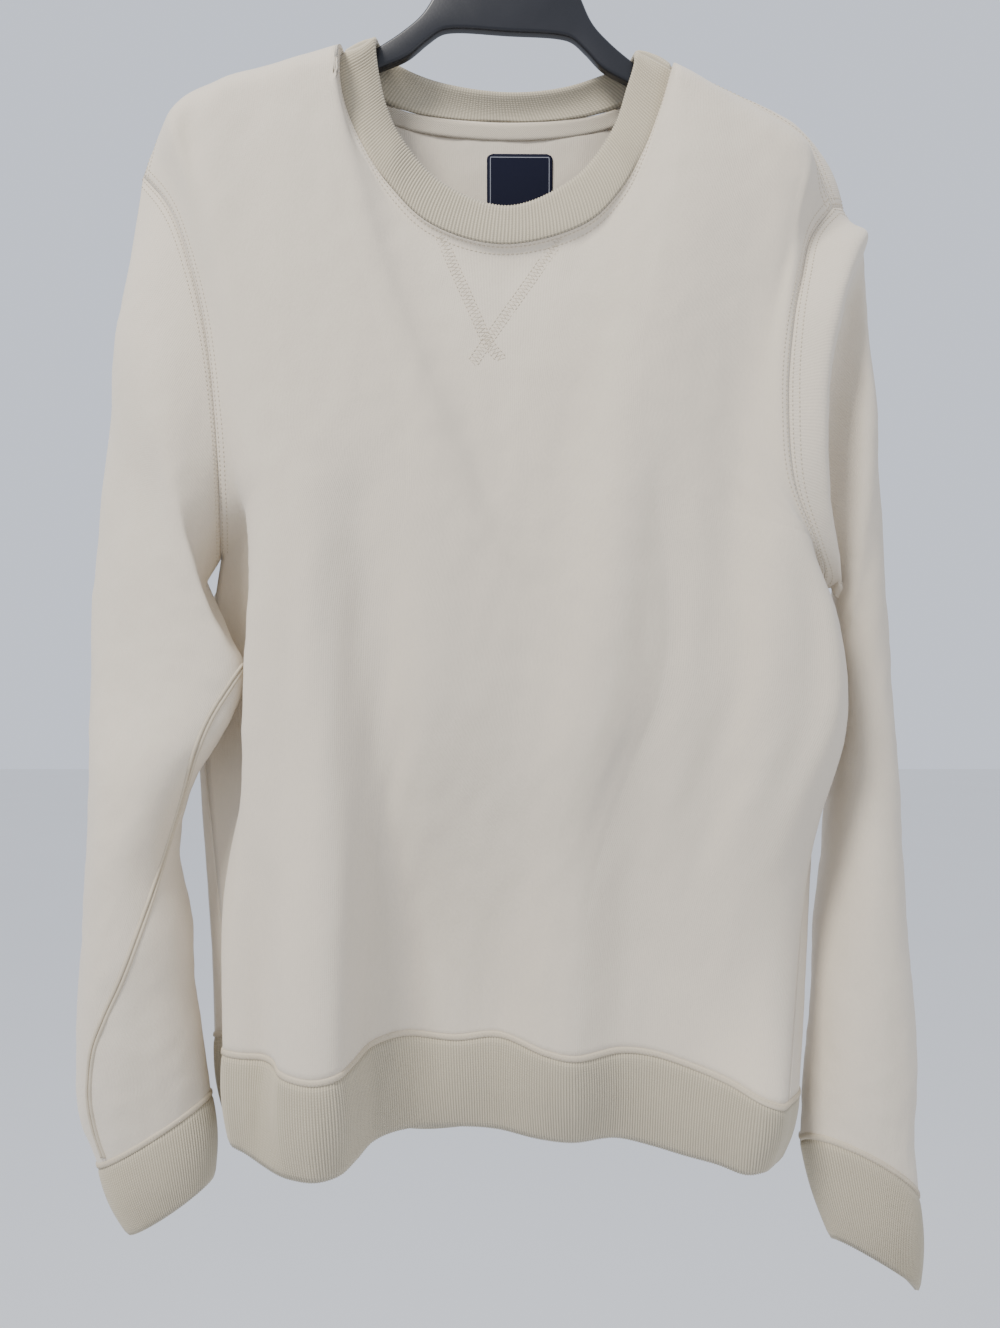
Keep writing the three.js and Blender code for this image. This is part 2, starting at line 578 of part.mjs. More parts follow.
/** Where a column lies near its top edge, by its distance below that edge along the cloth. */
function overCrest(top, crest, point, below) {
  const climb = top.distanceTo(crest);
  if (below < climb) {
    const turn = (below / climb) * (Math.PI / 2);
    return new THREE.Vector3(
      lerp(top.x, crest.x, Math.sin(turn)),
      lerp(top.y, crest.y, 1 - Math.cos(turn)),
      lerp(top.z, crest.z, Math.sin(turn)),
    );
  }
  const past = (below - climb) / SHOULDER_ROLL;
  const rolled = past < 1 ? Math.sqrt(1 - (1 - past) ** 2) : 1;
  const ease = Math.exp(-(below - climb) / SHOULDER_ROLL);
  return new THREE.Vector3(
    lerp(point.x, crest.x, ease),
    lerp(crest.y, point.y, rolled),
    point.z + (crest.z + climb - top.z) * ease,
  );
}

/** A panel's outer points: rows from the hem to the top edge, columns from left to right. */
function panelGrid({ plan, hemLine, neck, zones, shares, crests }) {
  const top = topEdge(neck, zones);
  const hem = resampleRow(hemLine, zones, shares);
  const grid = [];
  for (let row = 0; row <= ROWS; row += 1) {
    const climb = rowClimb(row);
    const fan = smoothstep(climb, 0.58, 1) ** 1.2;
    const low = 1 - smoothstep(climb, 0, HEM_REACH);
    const across = resampleRow(plan(row), zones, shares);
    const line = [];
    for (let i = 0; i < across.length; i += 1) {
      const point = across[i].clone();
      point.z = lerp(hem[i].z, top[i].z, climb);
      point.x = lerp(lerp(point.x, hem[i].x, low), top[i].x, fan);
      point.y = lerp(point.y, hem[i].y, low);
      const below = top[i].z - point.z;
      const share = Math.min(below / SHOULDER_ROLL, 1);
      const rolled = Math.sqrt(Math.max(1 - (1 - share) ** 2, 0));
      if (crests && crests[i] && row < ROWS) {
        line.push(overCrest(top[i], crests[i], point, below));
      } else {
        point.y = lerp(top[i].y, point.y, row === ROWS ? 0 : rolled);
        line.push(point);
      }
    }
    grid.push(line);
  }
  return grid;
}

/** Makes the panel's side columns lie on the shared seams. */
function pinSides(grid, left, right) {
  grid.forEach((line, row) => {
    const ends = [left(row), right(row)];
    const last = line.length - 1;
    const shift = [ends[0].clone().sub(line[0]), ends[1].clone().sub(line[last])];
    const reach = PINNED_COLUMNS;
    for (let i = 0; i < reach; i += 1) {
      const hold = 1 - smoothstep(i, 0, reach);
      line[i].addScaledVector(shift[0], hold);
      line[last - i].addScaledVector(shift[1], hold);
    }
  });
  return grid;
}

/** Normals of a grid of points, pointing to the side that facing says. */
function gridNormals(grid, closed, facing) {
  const width = grid[0].length;
  return grid.map((line, row) => line.map((point, i) => {
    const before = closed ? line[(i - 1 + width) % width] : line[Math.max(i - 1, 0)];
    const after = closed ? line[(i + 1) % width] : line[Math.min(i + 1, width - 1)];
    const under = grid[Math.max(row - 1, 0)][i];
    const over = grid[Math.min(row + 1, grid.length - 1)][i];
    const along = after.clone().sub(before);
    const up = over.clone().sub(under);
    return along.cross(up).normalize().multiplyScalar(facing);
  }));
}

/** Softens the sharp creases that run down from the two corners of the neck. */
function easeCreases(grid) {
  for (let time = 0; time < CREASE_EASING; time += 1) {
    const before = grid.map((line) => line.map((point) => point.clone()));
    for (let row = 1; row < grid.length - 1; row += 1) {
      for (let i = 1; i < grid[row].length - 1; i += 1) {
        const point = before[row][i];
        const aside = (Math.abs(point.x) - CREASE_X) / CREASE_WIDTH;
        const climb = Math.min(Math.max((point.z - CREASE_FOOT) / CREASE_RISE, 0), 1);
        const below = Math.min(Math.max((grid.length - CREASE_MARGIN - row) / CREASE_MARGIN, 0), 1);
        const share = point.z > CREASE_TOP ? 0 : CREASE_STRENGTH * climb * below * Math.exp(-(aside ** 2));
        const around = new THREE.Vector3().add(before[row - 1][i]).add(before[row + 1][i])
          .add(before[row][i - 1]).add(before[row][i + 1]).multiplyScalar(0.25);
        grid[row][i].lerp(around, share);
      }
    }
  }
}

/** Evens out the directions through a wall, so that its inner face doesn't cross itself at a crease. */
function softenNormals(normals, closed) {
  let soft = normals;
  for (let time = 0; time < NORMAL_SOFTENING; time += 1) {
    const width = soft[0].length;
    soft = soft.map((line, row) => line.map((normal, i) => {
      const before = closed ? line[(i - 1 + width) % width] : line[Math.max(i - 1, 0)];
      const after = closed ? line[(i + 1) % width] : line[Math.min(i + 1, width - 1)];
      const under = soft[Math.max(row - 1, 0)][i];
      const over = soft[Math.min(row + 1, soft.length - 1)][i];
      return normal.clone().add(before).add(after).add(under).add(over).normalize();
    }));
  }
  return soft;
}

/** Gives two walls one shared direction through their cloth at each point of a seam. */
function shareNormals(pairs) {
  for (const [first, second] of pairs) {
    const middle = first.clone().add(second).normalize();
    first.copy(middle);
    second.copy(middle);
  }
}

/** Turns directions beside a seam half way to the seam's own, so that the walls don't cross there. */
function easeNormals(pairs) {
  for (const [beside, seam] of pairs) beside.add(seam).normalize();
}

/** Shares from 0 to 1 of the points of a chain that are equally far apart. */
function evenShares(chain) {
  return chain.map((point, i) => i / (chain.length - 1));
}

/** Adds a strip of triangles between two chains of indices, matched by their points' shares. */
function stitch(triangles, lower, upper, flip, lowerShares = evenShares(lower), upperShares = evenShares(upper)) {
  let [a, b] = [0, 0];
  while (a < lower.length - 1 || b < upper.length - 1) {
    const stepLower = b === upper.length - 1
      || (a < lower.length - 1 && lowerShares[a + 1] <= upperShares[b + 1]);
    const triangle = stepLower ? [lower[a], lower[a + 1], upper[b]] : [lower[a], upper[b + 1], upper[b]];
    triangles.push(flip ? triangle.reverse() : triangle);
    if (stepLower) a += 1;
    else b += 1;
  }
}

/** A closed wall from outer points and inner points, whose shares say how their columns match. */
function wallGeometry(outer, inner, closed, outerShares) {
  const positions = [];
  const number = (line) => {
    const chain = line.map((point) => {
      positions.push(point.x, point.y, point.z);
      return positions.length / 3 - 1;
    });
    if (closed) chain.push(chain[0]);
    return chain;
  };
  const outerRows = outer.map(number);
  const innerRows = inner.map(number);
  const triangles = [];
  for (let row = 0; row < outerRows.length - 1; row += 1) {
    stitch(triangles, outerRows[row], outerRows[row + 1], false);
  }
  for (let row = 0; row < innerRows.length - 1; row += 1) {
    stitch(triangles, innerRows[row], innerRows[row + 1], true);
  }
  const [outerTop, innerTop] = [outerRows[outerRows.length - 1], innerRows[innerRows.length - 1]];
  stitch(triangles, outerRows[0], innerRows[0], true, outerShares);
  stitch(triangles, outerTop, innerTop, false, outerShares);
  if (!closed) {
    const column = (rows, pick) => rows.map((chain) => chain[pick === 'first' ? 0 : chain.length - 1]);
    stitch(triangles, column(outerRows, 'first'), column(innerRows, 'first'), false);
    stitch(triangles, column(outerRows, 'last'), column(innerRows, 'last'), true);
  }
  const geometry = new THREE.BufferGeometry();
  geometry.setAttribute('position', new THREE.Float32BufferAttribute(positions, 3));
  geometry.setIndex(triangles.flat());
  return geometry;
}

/** Points moved along their normals. */
function offsetGrid(grid, normals, distance) {
  return grid.map((line, row) => line.map((point, i) => (
    point.clone().addScaledVector(normals[row][i], distance)
  )));
}

/** Pulls the first or last row back along its columns, to leave a seam's gap. */
function trimRow(grid, row, next, gap) {
  grid[row].forEach((point, i) => {
    const away = grid[next][i].clone().sub(point);
    point.addScaledVector(away.normalize(), gap);
  });
}

/** Pulls a side column back along its rows, to leave a seam's gap. */
function trimColumn(grid, column, next, gap) {
  grid.forEach((line) => {
    const away = line[next].clone().sub(line[column]);
    line[column].addScaledVector(away.normalize(), gap);
  });
}

/** A point of a sleeve ring: 0 is the underarm seam, half way round is the outer edge. */
function ringPoint(station, share) {
  const half = share <= 0.5 ? share * 2 : 2 - share * 2;
  const spread = Math.PI * (1 - (1 - half) ** ROW_CROWDING);
  const angle = (share <= 0.5 ? spread : 2 * Math.PI - spread) + degToRad(station.turn);
  const [reach, side] = [Math.cos(angle), Math.sin(angle)];
  const isFront = side > 0;
  const depth = isFront ? -station.front : station.back;
  return new THREE.Vector3(
    station.x + station.inX * reach + (isFront ? station.bow * side ** 2 : BACK_BOW * station.bow * side ** 2),
    station.y + station.inY * reach + depth * Math.abs(side),
    station.z + station.inZ * reach + (isFront ? station.rise * side : 0),
  );
}

/** A sleeve's outer points, from the armhole ring down to the cuff seam. */
function sleeveGrid(armholeRing, stations) {
  const around = armholeRing.length;
  const lines = armholeRing.map((start, i) => {
    const stops = stations.map((station) => ringPoint(station, i / around));
    return new THREE.CatmullRomCurve3([start, ...stops], false, 'centripetal');
  });
  const grid = [];
  for (let row = 0; row <= SLEEVE_ROWS; row += 1) {
    const share = row / SLEEVE_ROWS;
    grid.push(lines.map((line) => line.getPoint(share)));
  }
  return grid;
}

/** The armhole ring: up the front from the underarm, over the shoulder, down the back. */
function armholeRing(front, back) {
  const ring = [];
  for (let row = SIDE_ROWS; row <= ROWS; row += 1) ring.push(front(row));
  for (let row = ROWS - 1; row > SIDE_ROWS; row -= 1) ring.push(back(row));
  return ring;
}

/** Fine points between the points of a ring, with ribs raised along its normals. */
function ribbedLine(ring, normals, ribCounts, relief) {
  const line = [];
  for (let i = 0; i < ring.length; i += 1) {
    const next = (i + 1) % ring.length;
    const steps = ribCounts[i] * 2;
    for (let k = 0; k < steps; k += 1) {
      const share = k / steps;
      const point = ring[i].clone().lerp(ring[next], share);
      const normal = normals[i].clone().lerp(normals[next], share).normalize();
      line.push(point.addScaledVector(normal, k % 2 ? relief : 0));
    }
  }
  return line;
}

/** A ribbed band that grows from a seam ring to its free end ring. */
function ribbedBand({ seam, seamNormals, end, rows, pitch, thickness, swell, gap = BAND_SEAM_GAP }) {
  const rings = [];
  const ribCounts = seam.map((point, i) => (
    Math.max(Math.round(point.distanceTo(seam[(i + 1) % seam.length]) / pitch), 1)
  ));
  for (let row = 0; row <= rows; row += 1) {
    const share = row / rows;
    rings.push(seam.map((point, i) => {
      const place = point.clone().lerp(end[i], share);
      const bulge = swell * Math.sin(Math.PI * share);
      return place.addScaledVector(seamNormals[i], bulge);
    }));
  }
  trimRow(rings, 0, 1, gap);
  const bandNormals = softenNormals(gridNormals(rings, true, 1), true);
  const normals = rings.map((ring, row) => (row === 0 ? seamNormals : bandNormals[row]));
  const facing = normals[rows][0].dot(seamNormals[0]) < 0 ? -1 : 1;
  normals.forEach((line, row) => row > 0 && line.forEach((normal) => normal.multiplyScalar(facing)));
  const outer = rings.map((ring, row) => ribbedLine(ring, normals[row], ribCounts, RIB_RELIEF));
  const inner = offsetGrid(rings, normals, -thickness);
  const shares = ribCounts.flatMap((count, i) => (
    [...Array(count * 2).keys()].map((k) => (i + k / (count * 2)) / seam.length)
  ));
  return { outer, inner, shares: [...shares, 1] };
}

/** Turns a wall the right way out where its rows run down instead of up. */
function outwardFacing(geometry) {
  geometry.computeBoundingBox();
  const [position, index] = [geometry.getAttribute('position'), geometry.getIndex()];
  const [a, b, c] = [new THREE.Vector3(), new THREE.Vector3(), new THREE.Vector3()];
  let volume = 0;
  for (let i = 0; i < index.count; i += 3) {
    a.fromBufferAttribute(position, index.getX(i));
    b.fromBufferAttribute(position, index.getX(i + 1));
    c.fromBufferAttribute(position, index.getX(i + 2));
    volume += a.dot(b.cross(c));
  }
  if (volume < 0) {
    const flipped = [];
    for (let i = 0; i < index.count; i += 3) {
      flipped.push(index.getX(i), index.getX(i + 2), index.getX(i + 1));
    }
    geometry.setIndex(flipped);
  }
  return geometry;
}

/** A library geometry with its repeated corners joined, so that it closes. */
function closedGeometry(geometry) {
  geometry.deleteAttribute('normal');
  geometry.deleteAttribute('uv');
  return mergeVertices(geometry, 1e-4);
}

const garment = new THREE.Group();

/** Adds a named mesh to the garment. */
function addPiece(name, geometry, finish) {
  const shape = outwardFacing(geometry);
  shape.computeVertexNormals();
  const mesh = new THREE.Mesh(shape, new THREE.MeshStandardMaterial(finish));
  mesh.name = name;
  garment.add(mesh);
}

// Front and back panels
const side = {
  leftFront: (row) => sidePoint(seams.leftSide, seams.leftFront, row),
  leftBack: (row) => sidePoint(seams.leftSide, seams.leftBack, row),
  rightFront: (row) => sidePoint(seams.rightSide, seams.rightFront, row),
  rightBack: (row) => sidePoint(seams.rightSide, seams.rightBack, row),
};
const frontGrid = pinSides(panelGrid({
  plan: frontPlan, hemLine: frontHemLine(), neck: FRONT_NECK, zones: FRONT_ZONES, shares: FRONT_SHARES,
}), side.leftFront, side.rightFront);
const backGrid = pinSides(panelGrid({
  plan: backPlan, hemLine: backHemLine(), neck: BACK_NECK, zones: BACK_ZONES, shares: BACK_SHARES,
  crests: backCrest(BACK_ZONES),
}), side.leftBack, side.rightBack);
const leftRing = armholeRing(side.leftFront, side.leftBack);
const rightRing = armholeRing(side.rightFront, side.rightBack);
const leftSleeve = sleeveGrid(leftRing, LEFT_SLEEVE);
const rightSleeve = sleeveGrid(rightRing, RIGHT_SLEEVE);

easeCreases(frontGrid);
const frontNormals = softenNormals(gridNormals(frontGrid, false, 1), false);
const backNormals = softenNormals(gridNormals(backGrid, false, -1), false);
const leftNormals = softenNormals(gridNormals(leftSleeve, true, 1), true);
const rightNormals = softenNormals(gridNormals(rightSleeve, true, -1), true);

const frontLast = frontGrid[0].length - 1;
const backLast = backGrid[0].length - 1;
for (let row = 0; row <= SIDE_ROWS; row += 1) {
  shareNormals([
    [frontNormals[row][0], backNormals[row][0]],
    [frontNormals[row][frontLast], backNormals[row][backLast]],
  ]);
}
leftNormals[0][0].copy(frontNormals[SIDE_ROWS][0]);
rightNormals[0][0].copy(frontNormals[SIDE_ROWS][frontLast]);
for (let row = SIDE_ROWS + 1; row <= ROWS; row += 1) {
  const up = row - SIDE_ROWS;
  const down = (leftRing.length - up) % leftRing.length;
  shareNormals([
    [frontNormals[row][0], leftNormals[0][up]],
    [backNormals[row][0], leftNormals[0][down]],
    [frontNormals[row][frontLast], rightNormals[0][up]],
    [backNormals[row][backLast], rightNormals[0][down]],
  ]);
}

for (let i = 0; i <= FRONT_ZONES.left; i += 1) {
  shareNormals([[frontNormals[ROWS][i], backNormals[ROWS][i]]]);
}
for (let i = 0; i <= FRONT_ZONES.right; i += 1) {
  shareNormals([[frontNormals[ROWS][frontLast - i], backNormals[ROWS][backLast - i]]]);
}
for (const normals of [frontNormals[0], backNormals[0]]) {
  normals.forEach((normal) => normal.setZ(0).normalize());
}

for (const [normals, last] of [[frontNormals, frontLast], [backNormals, backLast]]) {
  normals.forEach((line) => easeNormals([[line[1], line[0]], [line[last - 1], line[last]]]));
}
for (const normals of [leftNormals, rightNormals]) {
  easeNormals(normals[1].map((normal, i) => [normal, normals[0][i]]));
}

/** Outer and inner points of a panel, trimmed by a seam's gap on every edge. */
function panelWall(grid, normals) {
  const last = grid[0].length - 1;
  const wall = [grid.map((line) => line.map((point) => point.clone())), offsetGrid(grid, normals, -FLEECE)];
  for (const points of wall) {
    trimRow(points, 0, 1, SEAM_GAP / 2);
    trimRow(points, ROWS, ROWS - 1, SEAM_GAP / 2);
    trimColumn(points, 0, 1, SEAM_GAP / 2);
    trimColumn(points, last, last - 1, SEAM_GAP / 2);
  }
  return wall;
}

/** Outer and inner points of a sleeve, trimmed by half a seam's gap at both ends. */
function sleeveWall(grid, normals, armholeGap) {
  const wall = [grid.map((line) => line.map((point) => point.clone())), offsetGrid(grid, normals, -FLEECE)];
  for (const points of wall) {
    trimRow(points, 0, 1, armholeGap / 2);
    trimRow(points, SLEEVE_ROWS, SLEEVE_ROWS - 1, SEAM_GAP / 2);
  }
  return wall;
}

const [frontOuter, frontInner] = panelWall(frontGrid, frontNormals);
const [backOuter, backInner] = panelWall(backGrid, backNormals);
addPiece('front', wallGeometry(frontOuter, frontInner, false), FABRIC);
addPiece('back', wallGeometry(backOuter, backInner, false), FABRIC);
const [leftOuter, leftInner] = sleeveWall(leftSleeve, leftNormals, SEAM_GAP);
const [rightOuter, rightInner] = sleeveWall(rightSleeve, rightNormals, TIGHT_SEAM_GAP);
addPiece('sleeve_left', wallGeometry(leftOuter, leftInner, true), FABRIC);
addPiece('sleeve_right', wallGeometry(rightOuter, rightInner, true), FABRIC);

// Hem rib
const hemRing = [...frontGrid[0], ...backGrid[0].slice(1, -1).reverse()];
const hemNormals = [...frontNormals[0], ...backNormals[0].slice(1, -1).reverse()];
const asEnd = (row) => ({ x: row.endX, y: row.endY, z: row.endZ });
const frontEnd = curveThrough([
  HEM_SIDE_ENDS.left, ...FRONT_HEM.map(asEnd), HEM_SIDE_ENDS.right,
]).getPoints(400);
const backEnd = curveThrough([
  HEM_SIDE_ENDS.left, ...BACK_HEM.map(asEnd), HEM_SIDE_ENDS.right,
]).getPoints(400);
const frontHemEnd = resampleRow(frontEnd, FRONT_ZONES, FRONT_SHARES);
const backHemEnd = resampleRow(backEnd, BACK_ZONES, BACK_SHARES);
const hemBand = ribbedBand({
  seam: hemRing,
  seamNormals: hemNormals,
  end: [...frontHemEnd, ...backHemEnd.slice(1, -1).reverse()],
  rows: 2,
  pitch: HEM_RIB_PITCH,
  thickness: RIB_KNIT,
  swell: BAND_SWELL,
});
addPiece('hem_rib', wallGeometry(hemBand.outer, hemBand.inner, true, hemBand.shares), RIB_FABRIC);

// Cuffs
for (const [name, grid, normals, end, gap] of [
  ['cuff_left', leftSleeve, leftNormals, LEFT_CUFF_END, SEAM_GAP / 2],
  ['cuff_right', rightSleeve, rightNormals, RIGHT_CUFF_END, BAND_SEAM_GAP],
]) {
  const seam = grid[SLEEVE_ROWS];
  const cuff = ribbedBand({
    seam,
    seamNormals: normals[SLEEVE_ROWS],
    end: seam.map((point, i) => ringPoint(end, i / seam.length)),
    rows: 2,
    pitch: CUFF_RIB_PITCH,
    thickness: RIB_KNIT,
    swell: BAND_SWELL,
    gap,
  });
  addPiece(name, wallGeometry(cuff.outer, cuff.inner, true, cuff.shares), RIB_FABRIC);
}

// Collar
const frontNeckFrom = FRONT_ZONES.left;
const frontNeckTo = FRONT_ZONES.left + FRONT_ZONES.neck;
const backNeckFrom = BACK_ZONES.left;
const backNeckTo = BACK_ZONES.left + BACK_ZONES.neck;
const neckRing = [
  ...frontGrid[ROWS].slice(frontNeckFrom, frontNeckTo + 1),
  ...backGrid[ROWS].slice(backNeckFrom + 1, backNeckTo).reverse(),
];
const neckNormals = [
  ...frontNormals[ROWS].slice(frontNeckFrom, frontNeckTo + 1),
  ...backNormals[ROWS].slice(backNeckFrom + 1, backNeckTo).reverse(),
];
const collarEdge = [
  ...crowded(curveThrough(FRONT_COLLAR_EDGE).getPoints(200), FRONT_ZONES.neck),
  ...crowded(curveThrough(BACK_COLLAR_EDGE).getPoints(200), BACK_ZONES.neck).slice(1, -1).reverse(),
];
const collar = ribbedBand({
  seam: neckRing,
  seamNormals: neckNormals,
  end: collarEdge,
  rows: 3,
  pitch: COLLAR_RIB_PITCH,
  thickness: COLLAR_KNIT,
  swell: COLLAR_CROWN,
});
addPiece('collar', wallGeometry(collar.outer, collar.inner, true, collar.shares), RIB_FABRIC);

// What is sewn inside the back: the neck tape and the label
const backInside = new THREE.Mesh(garment.getObjectByName('back').geometry);
const ray = new THREE.Raycaster();

/** The inner face of the back at a place seen from the front. */
function insideBack(x, z) {
  ray.set(new THREE.Vector3(x, -60, z), new THREE.Vector3(0, 1, 0));
  return ray.intersectObject(backInside)[0].point;
}

/** A thin closed patch that lies on the inner face of the back. */
function patchInside(columns, rows, place, thickness) {
  const [near, far] = [[], []];
  for (let row = 0; row <= rows; row += 1) {
    const spots = [];
    for (let i = 0; i <= columns; i += 1) spots.push(place(i / columns, row / rows));
    far.push(spots.map((spot) => spot.clone().add(new THREE.Vector3(0, -LAY_GAP, 0))));
    near.push(spots.map((spot) => spot.clone().add(new THREE.Vector3(0, -LAY_GAP - thickness, 0))));
  }
  return wallGeometry(near, far, false);
}

const tapeSeam = backInner[ROWS].slice(backNeckFrom + 2, backNeckTo - 1);
const tapeLine = evenly(tapeSeam, TAPE_COLUMNS);
addPiece('neck_tape', patchInside(TAPE_COLUMNS, 3, (across, down) => {
  const top = tapeLine[Math.round(lerp(0, TAPE_COLUMNS, across))];
  return insideBack(top.x, top.z - TAPE_DROP - TAPE_WIDTH * down);
}, TAPE_THICK), TAPE_FABRIC);
addPiece('label', patchInside(6, 4, (across, down) => insideBack(
  lerp(LABEL_LEFT, LABEL_RIGHT, across),
  LABEL_TOP - LABEL_HEIGHT * down,
), LABEL_THICK), LABEL_FABRIC);

// Hanger
const outline = HANGER_OUTLINE.map((row) => new THREE.Vector2(row.x, row.z));
const mirrored = HANGER_OUTLINE.slice(1, -1).reverse().map((row) => new THREE.Vector2(-row.x, row.z));
const hangerShape = new THREE.Shape([...outline, ...mirrored]);
const hanger = new THREE.ExtrudeGeometry(hangerShape, {
  depth: 2 * (HANGER_HALF - HANGER_BEVEL),
  bevelThickness: HANGER_BEVEL,
  bevelSize: HANGER_BEVEL,
  bevelOffset: -HANGER_BEVEL,
  bevelSegments: 2,
});
hanger.translate(0, 0, -(HANGER_HALF - HANGER_BEVEL));
hanger.rotateX(Math.PI / 2);
hanger.translate(0, 0, -HANGER_MIDDLE_Z);
hanger.rotateY(HANGER_LEAN);
hanger.translate(0, 0, HANGER_MIDDLE_Z);
addPiece('hanger', closedGeometry(hanger), HANGER_PLASTIC);

// Hook: the crest of its inside is the origin
const hookMiddle = new THREE.Vector3(0, 0, -HOOK_INSIDE);
const hookRadius = HOOK_INSIDE + HOOK_WIRE;
const hookArc = [];
for (let i = 0; i <= 12; i += 1) {
  const angle = lerp(degToRad(200), degToRad(-75), i / 12);
  hookArc.push(new THREE.Vector3(
    hookMiddle.x + hookRadius * Math.cos(angle),
    0,
    hookMiddle.z + hookRadius * Math.sin(angle),
  ));
}
const hookRoute = new THREE.CatmullRomCurve3([
  ...hookArc,
  new THREE.Vector3(1, 0, -50),
  new THREE.Vector3(0, 0, HANGER_OUTLINE[0].z + HOOK_SEAT),
], false, 'centripetal');
const hookSection = new THREE.Shape();
hookSection.absarc(0, 0, HOOK_WIRE, 0, Math.PI * 2);
const hook = new THREE.ExtrudeGeometry(hookSection, {
  steps: HOOK_STEPS, curveSegments: HOOK_SIDES, extrudePath: hookRoute, bevelEnabled: false,
});
addPiece('hook', closedGeometry(hook), HOOK_STEEL);

export default garment;
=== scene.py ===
"""A cream crewneck sweatshirt hanging on a plain clothes hanger.

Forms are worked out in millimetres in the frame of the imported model: +Z up, +X to the viewer's
right, the front faces -Y, and the origin is the crest inside the hook. Meshes are in metres.
"""
from __future__ import annotations

import logging
import math
from dataclasses import dataclass, field
from enum import Enum
from typing import Any, Callable

import bmesh
import bpy
import numpy as np
from mathutils import Matrix, Vector, noise
from mathutils.bvhtree import BVHTree

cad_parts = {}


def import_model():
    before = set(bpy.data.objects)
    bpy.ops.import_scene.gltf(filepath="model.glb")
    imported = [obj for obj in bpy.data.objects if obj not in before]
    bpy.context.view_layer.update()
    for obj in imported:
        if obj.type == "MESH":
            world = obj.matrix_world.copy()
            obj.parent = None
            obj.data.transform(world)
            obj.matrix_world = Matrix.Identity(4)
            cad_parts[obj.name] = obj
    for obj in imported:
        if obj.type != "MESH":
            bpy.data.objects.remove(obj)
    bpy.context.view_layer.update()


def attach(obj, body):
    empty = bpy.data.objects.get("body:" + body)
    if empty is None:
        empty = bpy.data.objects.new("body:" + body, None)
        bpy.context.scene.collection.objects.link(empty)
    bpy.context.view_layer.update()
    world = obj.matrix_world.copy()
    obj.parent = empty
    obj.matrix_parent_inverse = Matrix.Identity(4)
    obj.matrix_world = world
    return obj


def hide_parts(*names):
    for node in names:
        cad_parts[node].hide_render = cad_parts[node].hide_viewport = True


LOG = logging.getLogger("sweatshirt")
MM = 0.001
Points = np.ndarray
Color = tuple[float, float, float]


class Table:
    """A short table with named columns."""

    def __init__(self, names: str, *rows: tuple[float, ...]) -> None:
        """Keeps the rows by column.

        Args:
            names: The columns' names, with spaces between them.
            rows: One tuple for each section, fold or point.
        """
        self.names = names.split()
        self.columns = dict(zip(self.names, np.array(rows, dtype=float).T))
        self.rows = rows

    def points(self, names: str = "x y z") -> Points:
        """Returns the named columns side by side."""
        return np.column_stack([self.columns[name] for name in names.split()])

    def read(self, key: str, name: str, place: Any) -> Any:
        """Reads a column smoothly at places along the key column.

        Args:
            key: The column that the places lie along.
            name: The column to read.
            place: One place or many.

        Returns:
            The column's value at each place.
        """
        order = np.argsort(self.columns[key])
        keys, values = self.columns[key][order], self.columns[name][order]
        last = len(keys) - 1
        spot = np.clip(place, keys[0], keys[-1])
        after = np.clip(np.searchsorted(keys, spot, side="right"), 1, last)
        a, b = after - 1, after
        before, beyond = np.maximum(a - 1, 0), np.minimum(b + 1, last)
        step = keys[b] - keys[a]
        share = (spot - keys[a]) / step
        slope_a = (values[b] - values[before]) / (keys[b] - keys[before]) * step
        slope_b = (values[beyond] - values[a]) / (keys[beyond] - keys[a]) * step
        s2, s3 = share**2, share**3
        return (
            (2 * s3 - 3 * s2 + 1) * values[a] + (s3 - 2 * s2 + share) * slope_a
            + (3 * s2 - 2 * s3) * values[b] + (s3 - s2) * slope_b
        )


# Cloth thicknesses and seams, in mm
FLEECE = 2.2
RIB_KNIT = 2.2
COLLAR_KNIT = 2.8
SEAM_GAP = 0.3

# Grid counts: rows climb the garment, columns cross it
SIDE_ROWS = 44
ARMHOLE_ROWS = 56
ROWS = SIDE_ROWS + ARMHOLE_ROWS
SLEEVE_ROWS = 110
PINNED_SHARE = 0.6
ROW_CROWDING = 1.35
NECK_CROWDING = 0.3
HEM_REACH = 0.4
BACK_BOW = -0.35
SHOULDER_ROLL = 26
BAND_SWELL = 2.5
COLLAR_CROWN = 2.6

# Where the creases below the neck's corners are softened, in mm and rows
CREASE_X = 84
CREASE_WIDTH = 40
CREASE_RISE = (-430, -340)
CREASE_TOP = (-172, -158)
CREASE_EASING = 240
CREASE_MARGIN = 7
CREASE_STRENGTH = 0.8

# How finely smooth lines are drawn before points are picked from them
SEAM_STEPS = 500
HEM_STEPS = 800
ROW_STEPS = 600
NECK_STEPS = 400
SHOULDER_STEPS = 200
FRONT_FACE_POINTS = 25
BACK_FACE_POINTS = 21

# Where a panel's rows turn: at the hem's corner, low on the back, and into the shoulders
HEM_TURN = (-179, -8, -779)
BACK_LOW = (470, 520)
CORNER_STEP = 10
CORNER_REACH = 24
CORNER_DEPTH = 0.62
FACE_STEP = 26
LOW_FACE_STEPS = (12, 14)
FAN_START = 0.58
FAN_POWER = 1.2
FOLD_ONSET = (-0.35, 0.05)

# The shortest length that gives a direction, and the distance in metres at which points are joined
TINY = 1e-9
WELD = 1e-7


@dataclass(frozen=True)
class Zones:
    """Column counts of a panel and the shares of a row's length where the neck's corners lie."""

    left: int
    neck: int
    right: int
    from_share: float
    to_share: float


FRONT_ZONES = Zones(36, 80, 36, 0.36, 0.68)
BACK_ZONES = Zones(36, 50, 36, 0.3, 0.7)

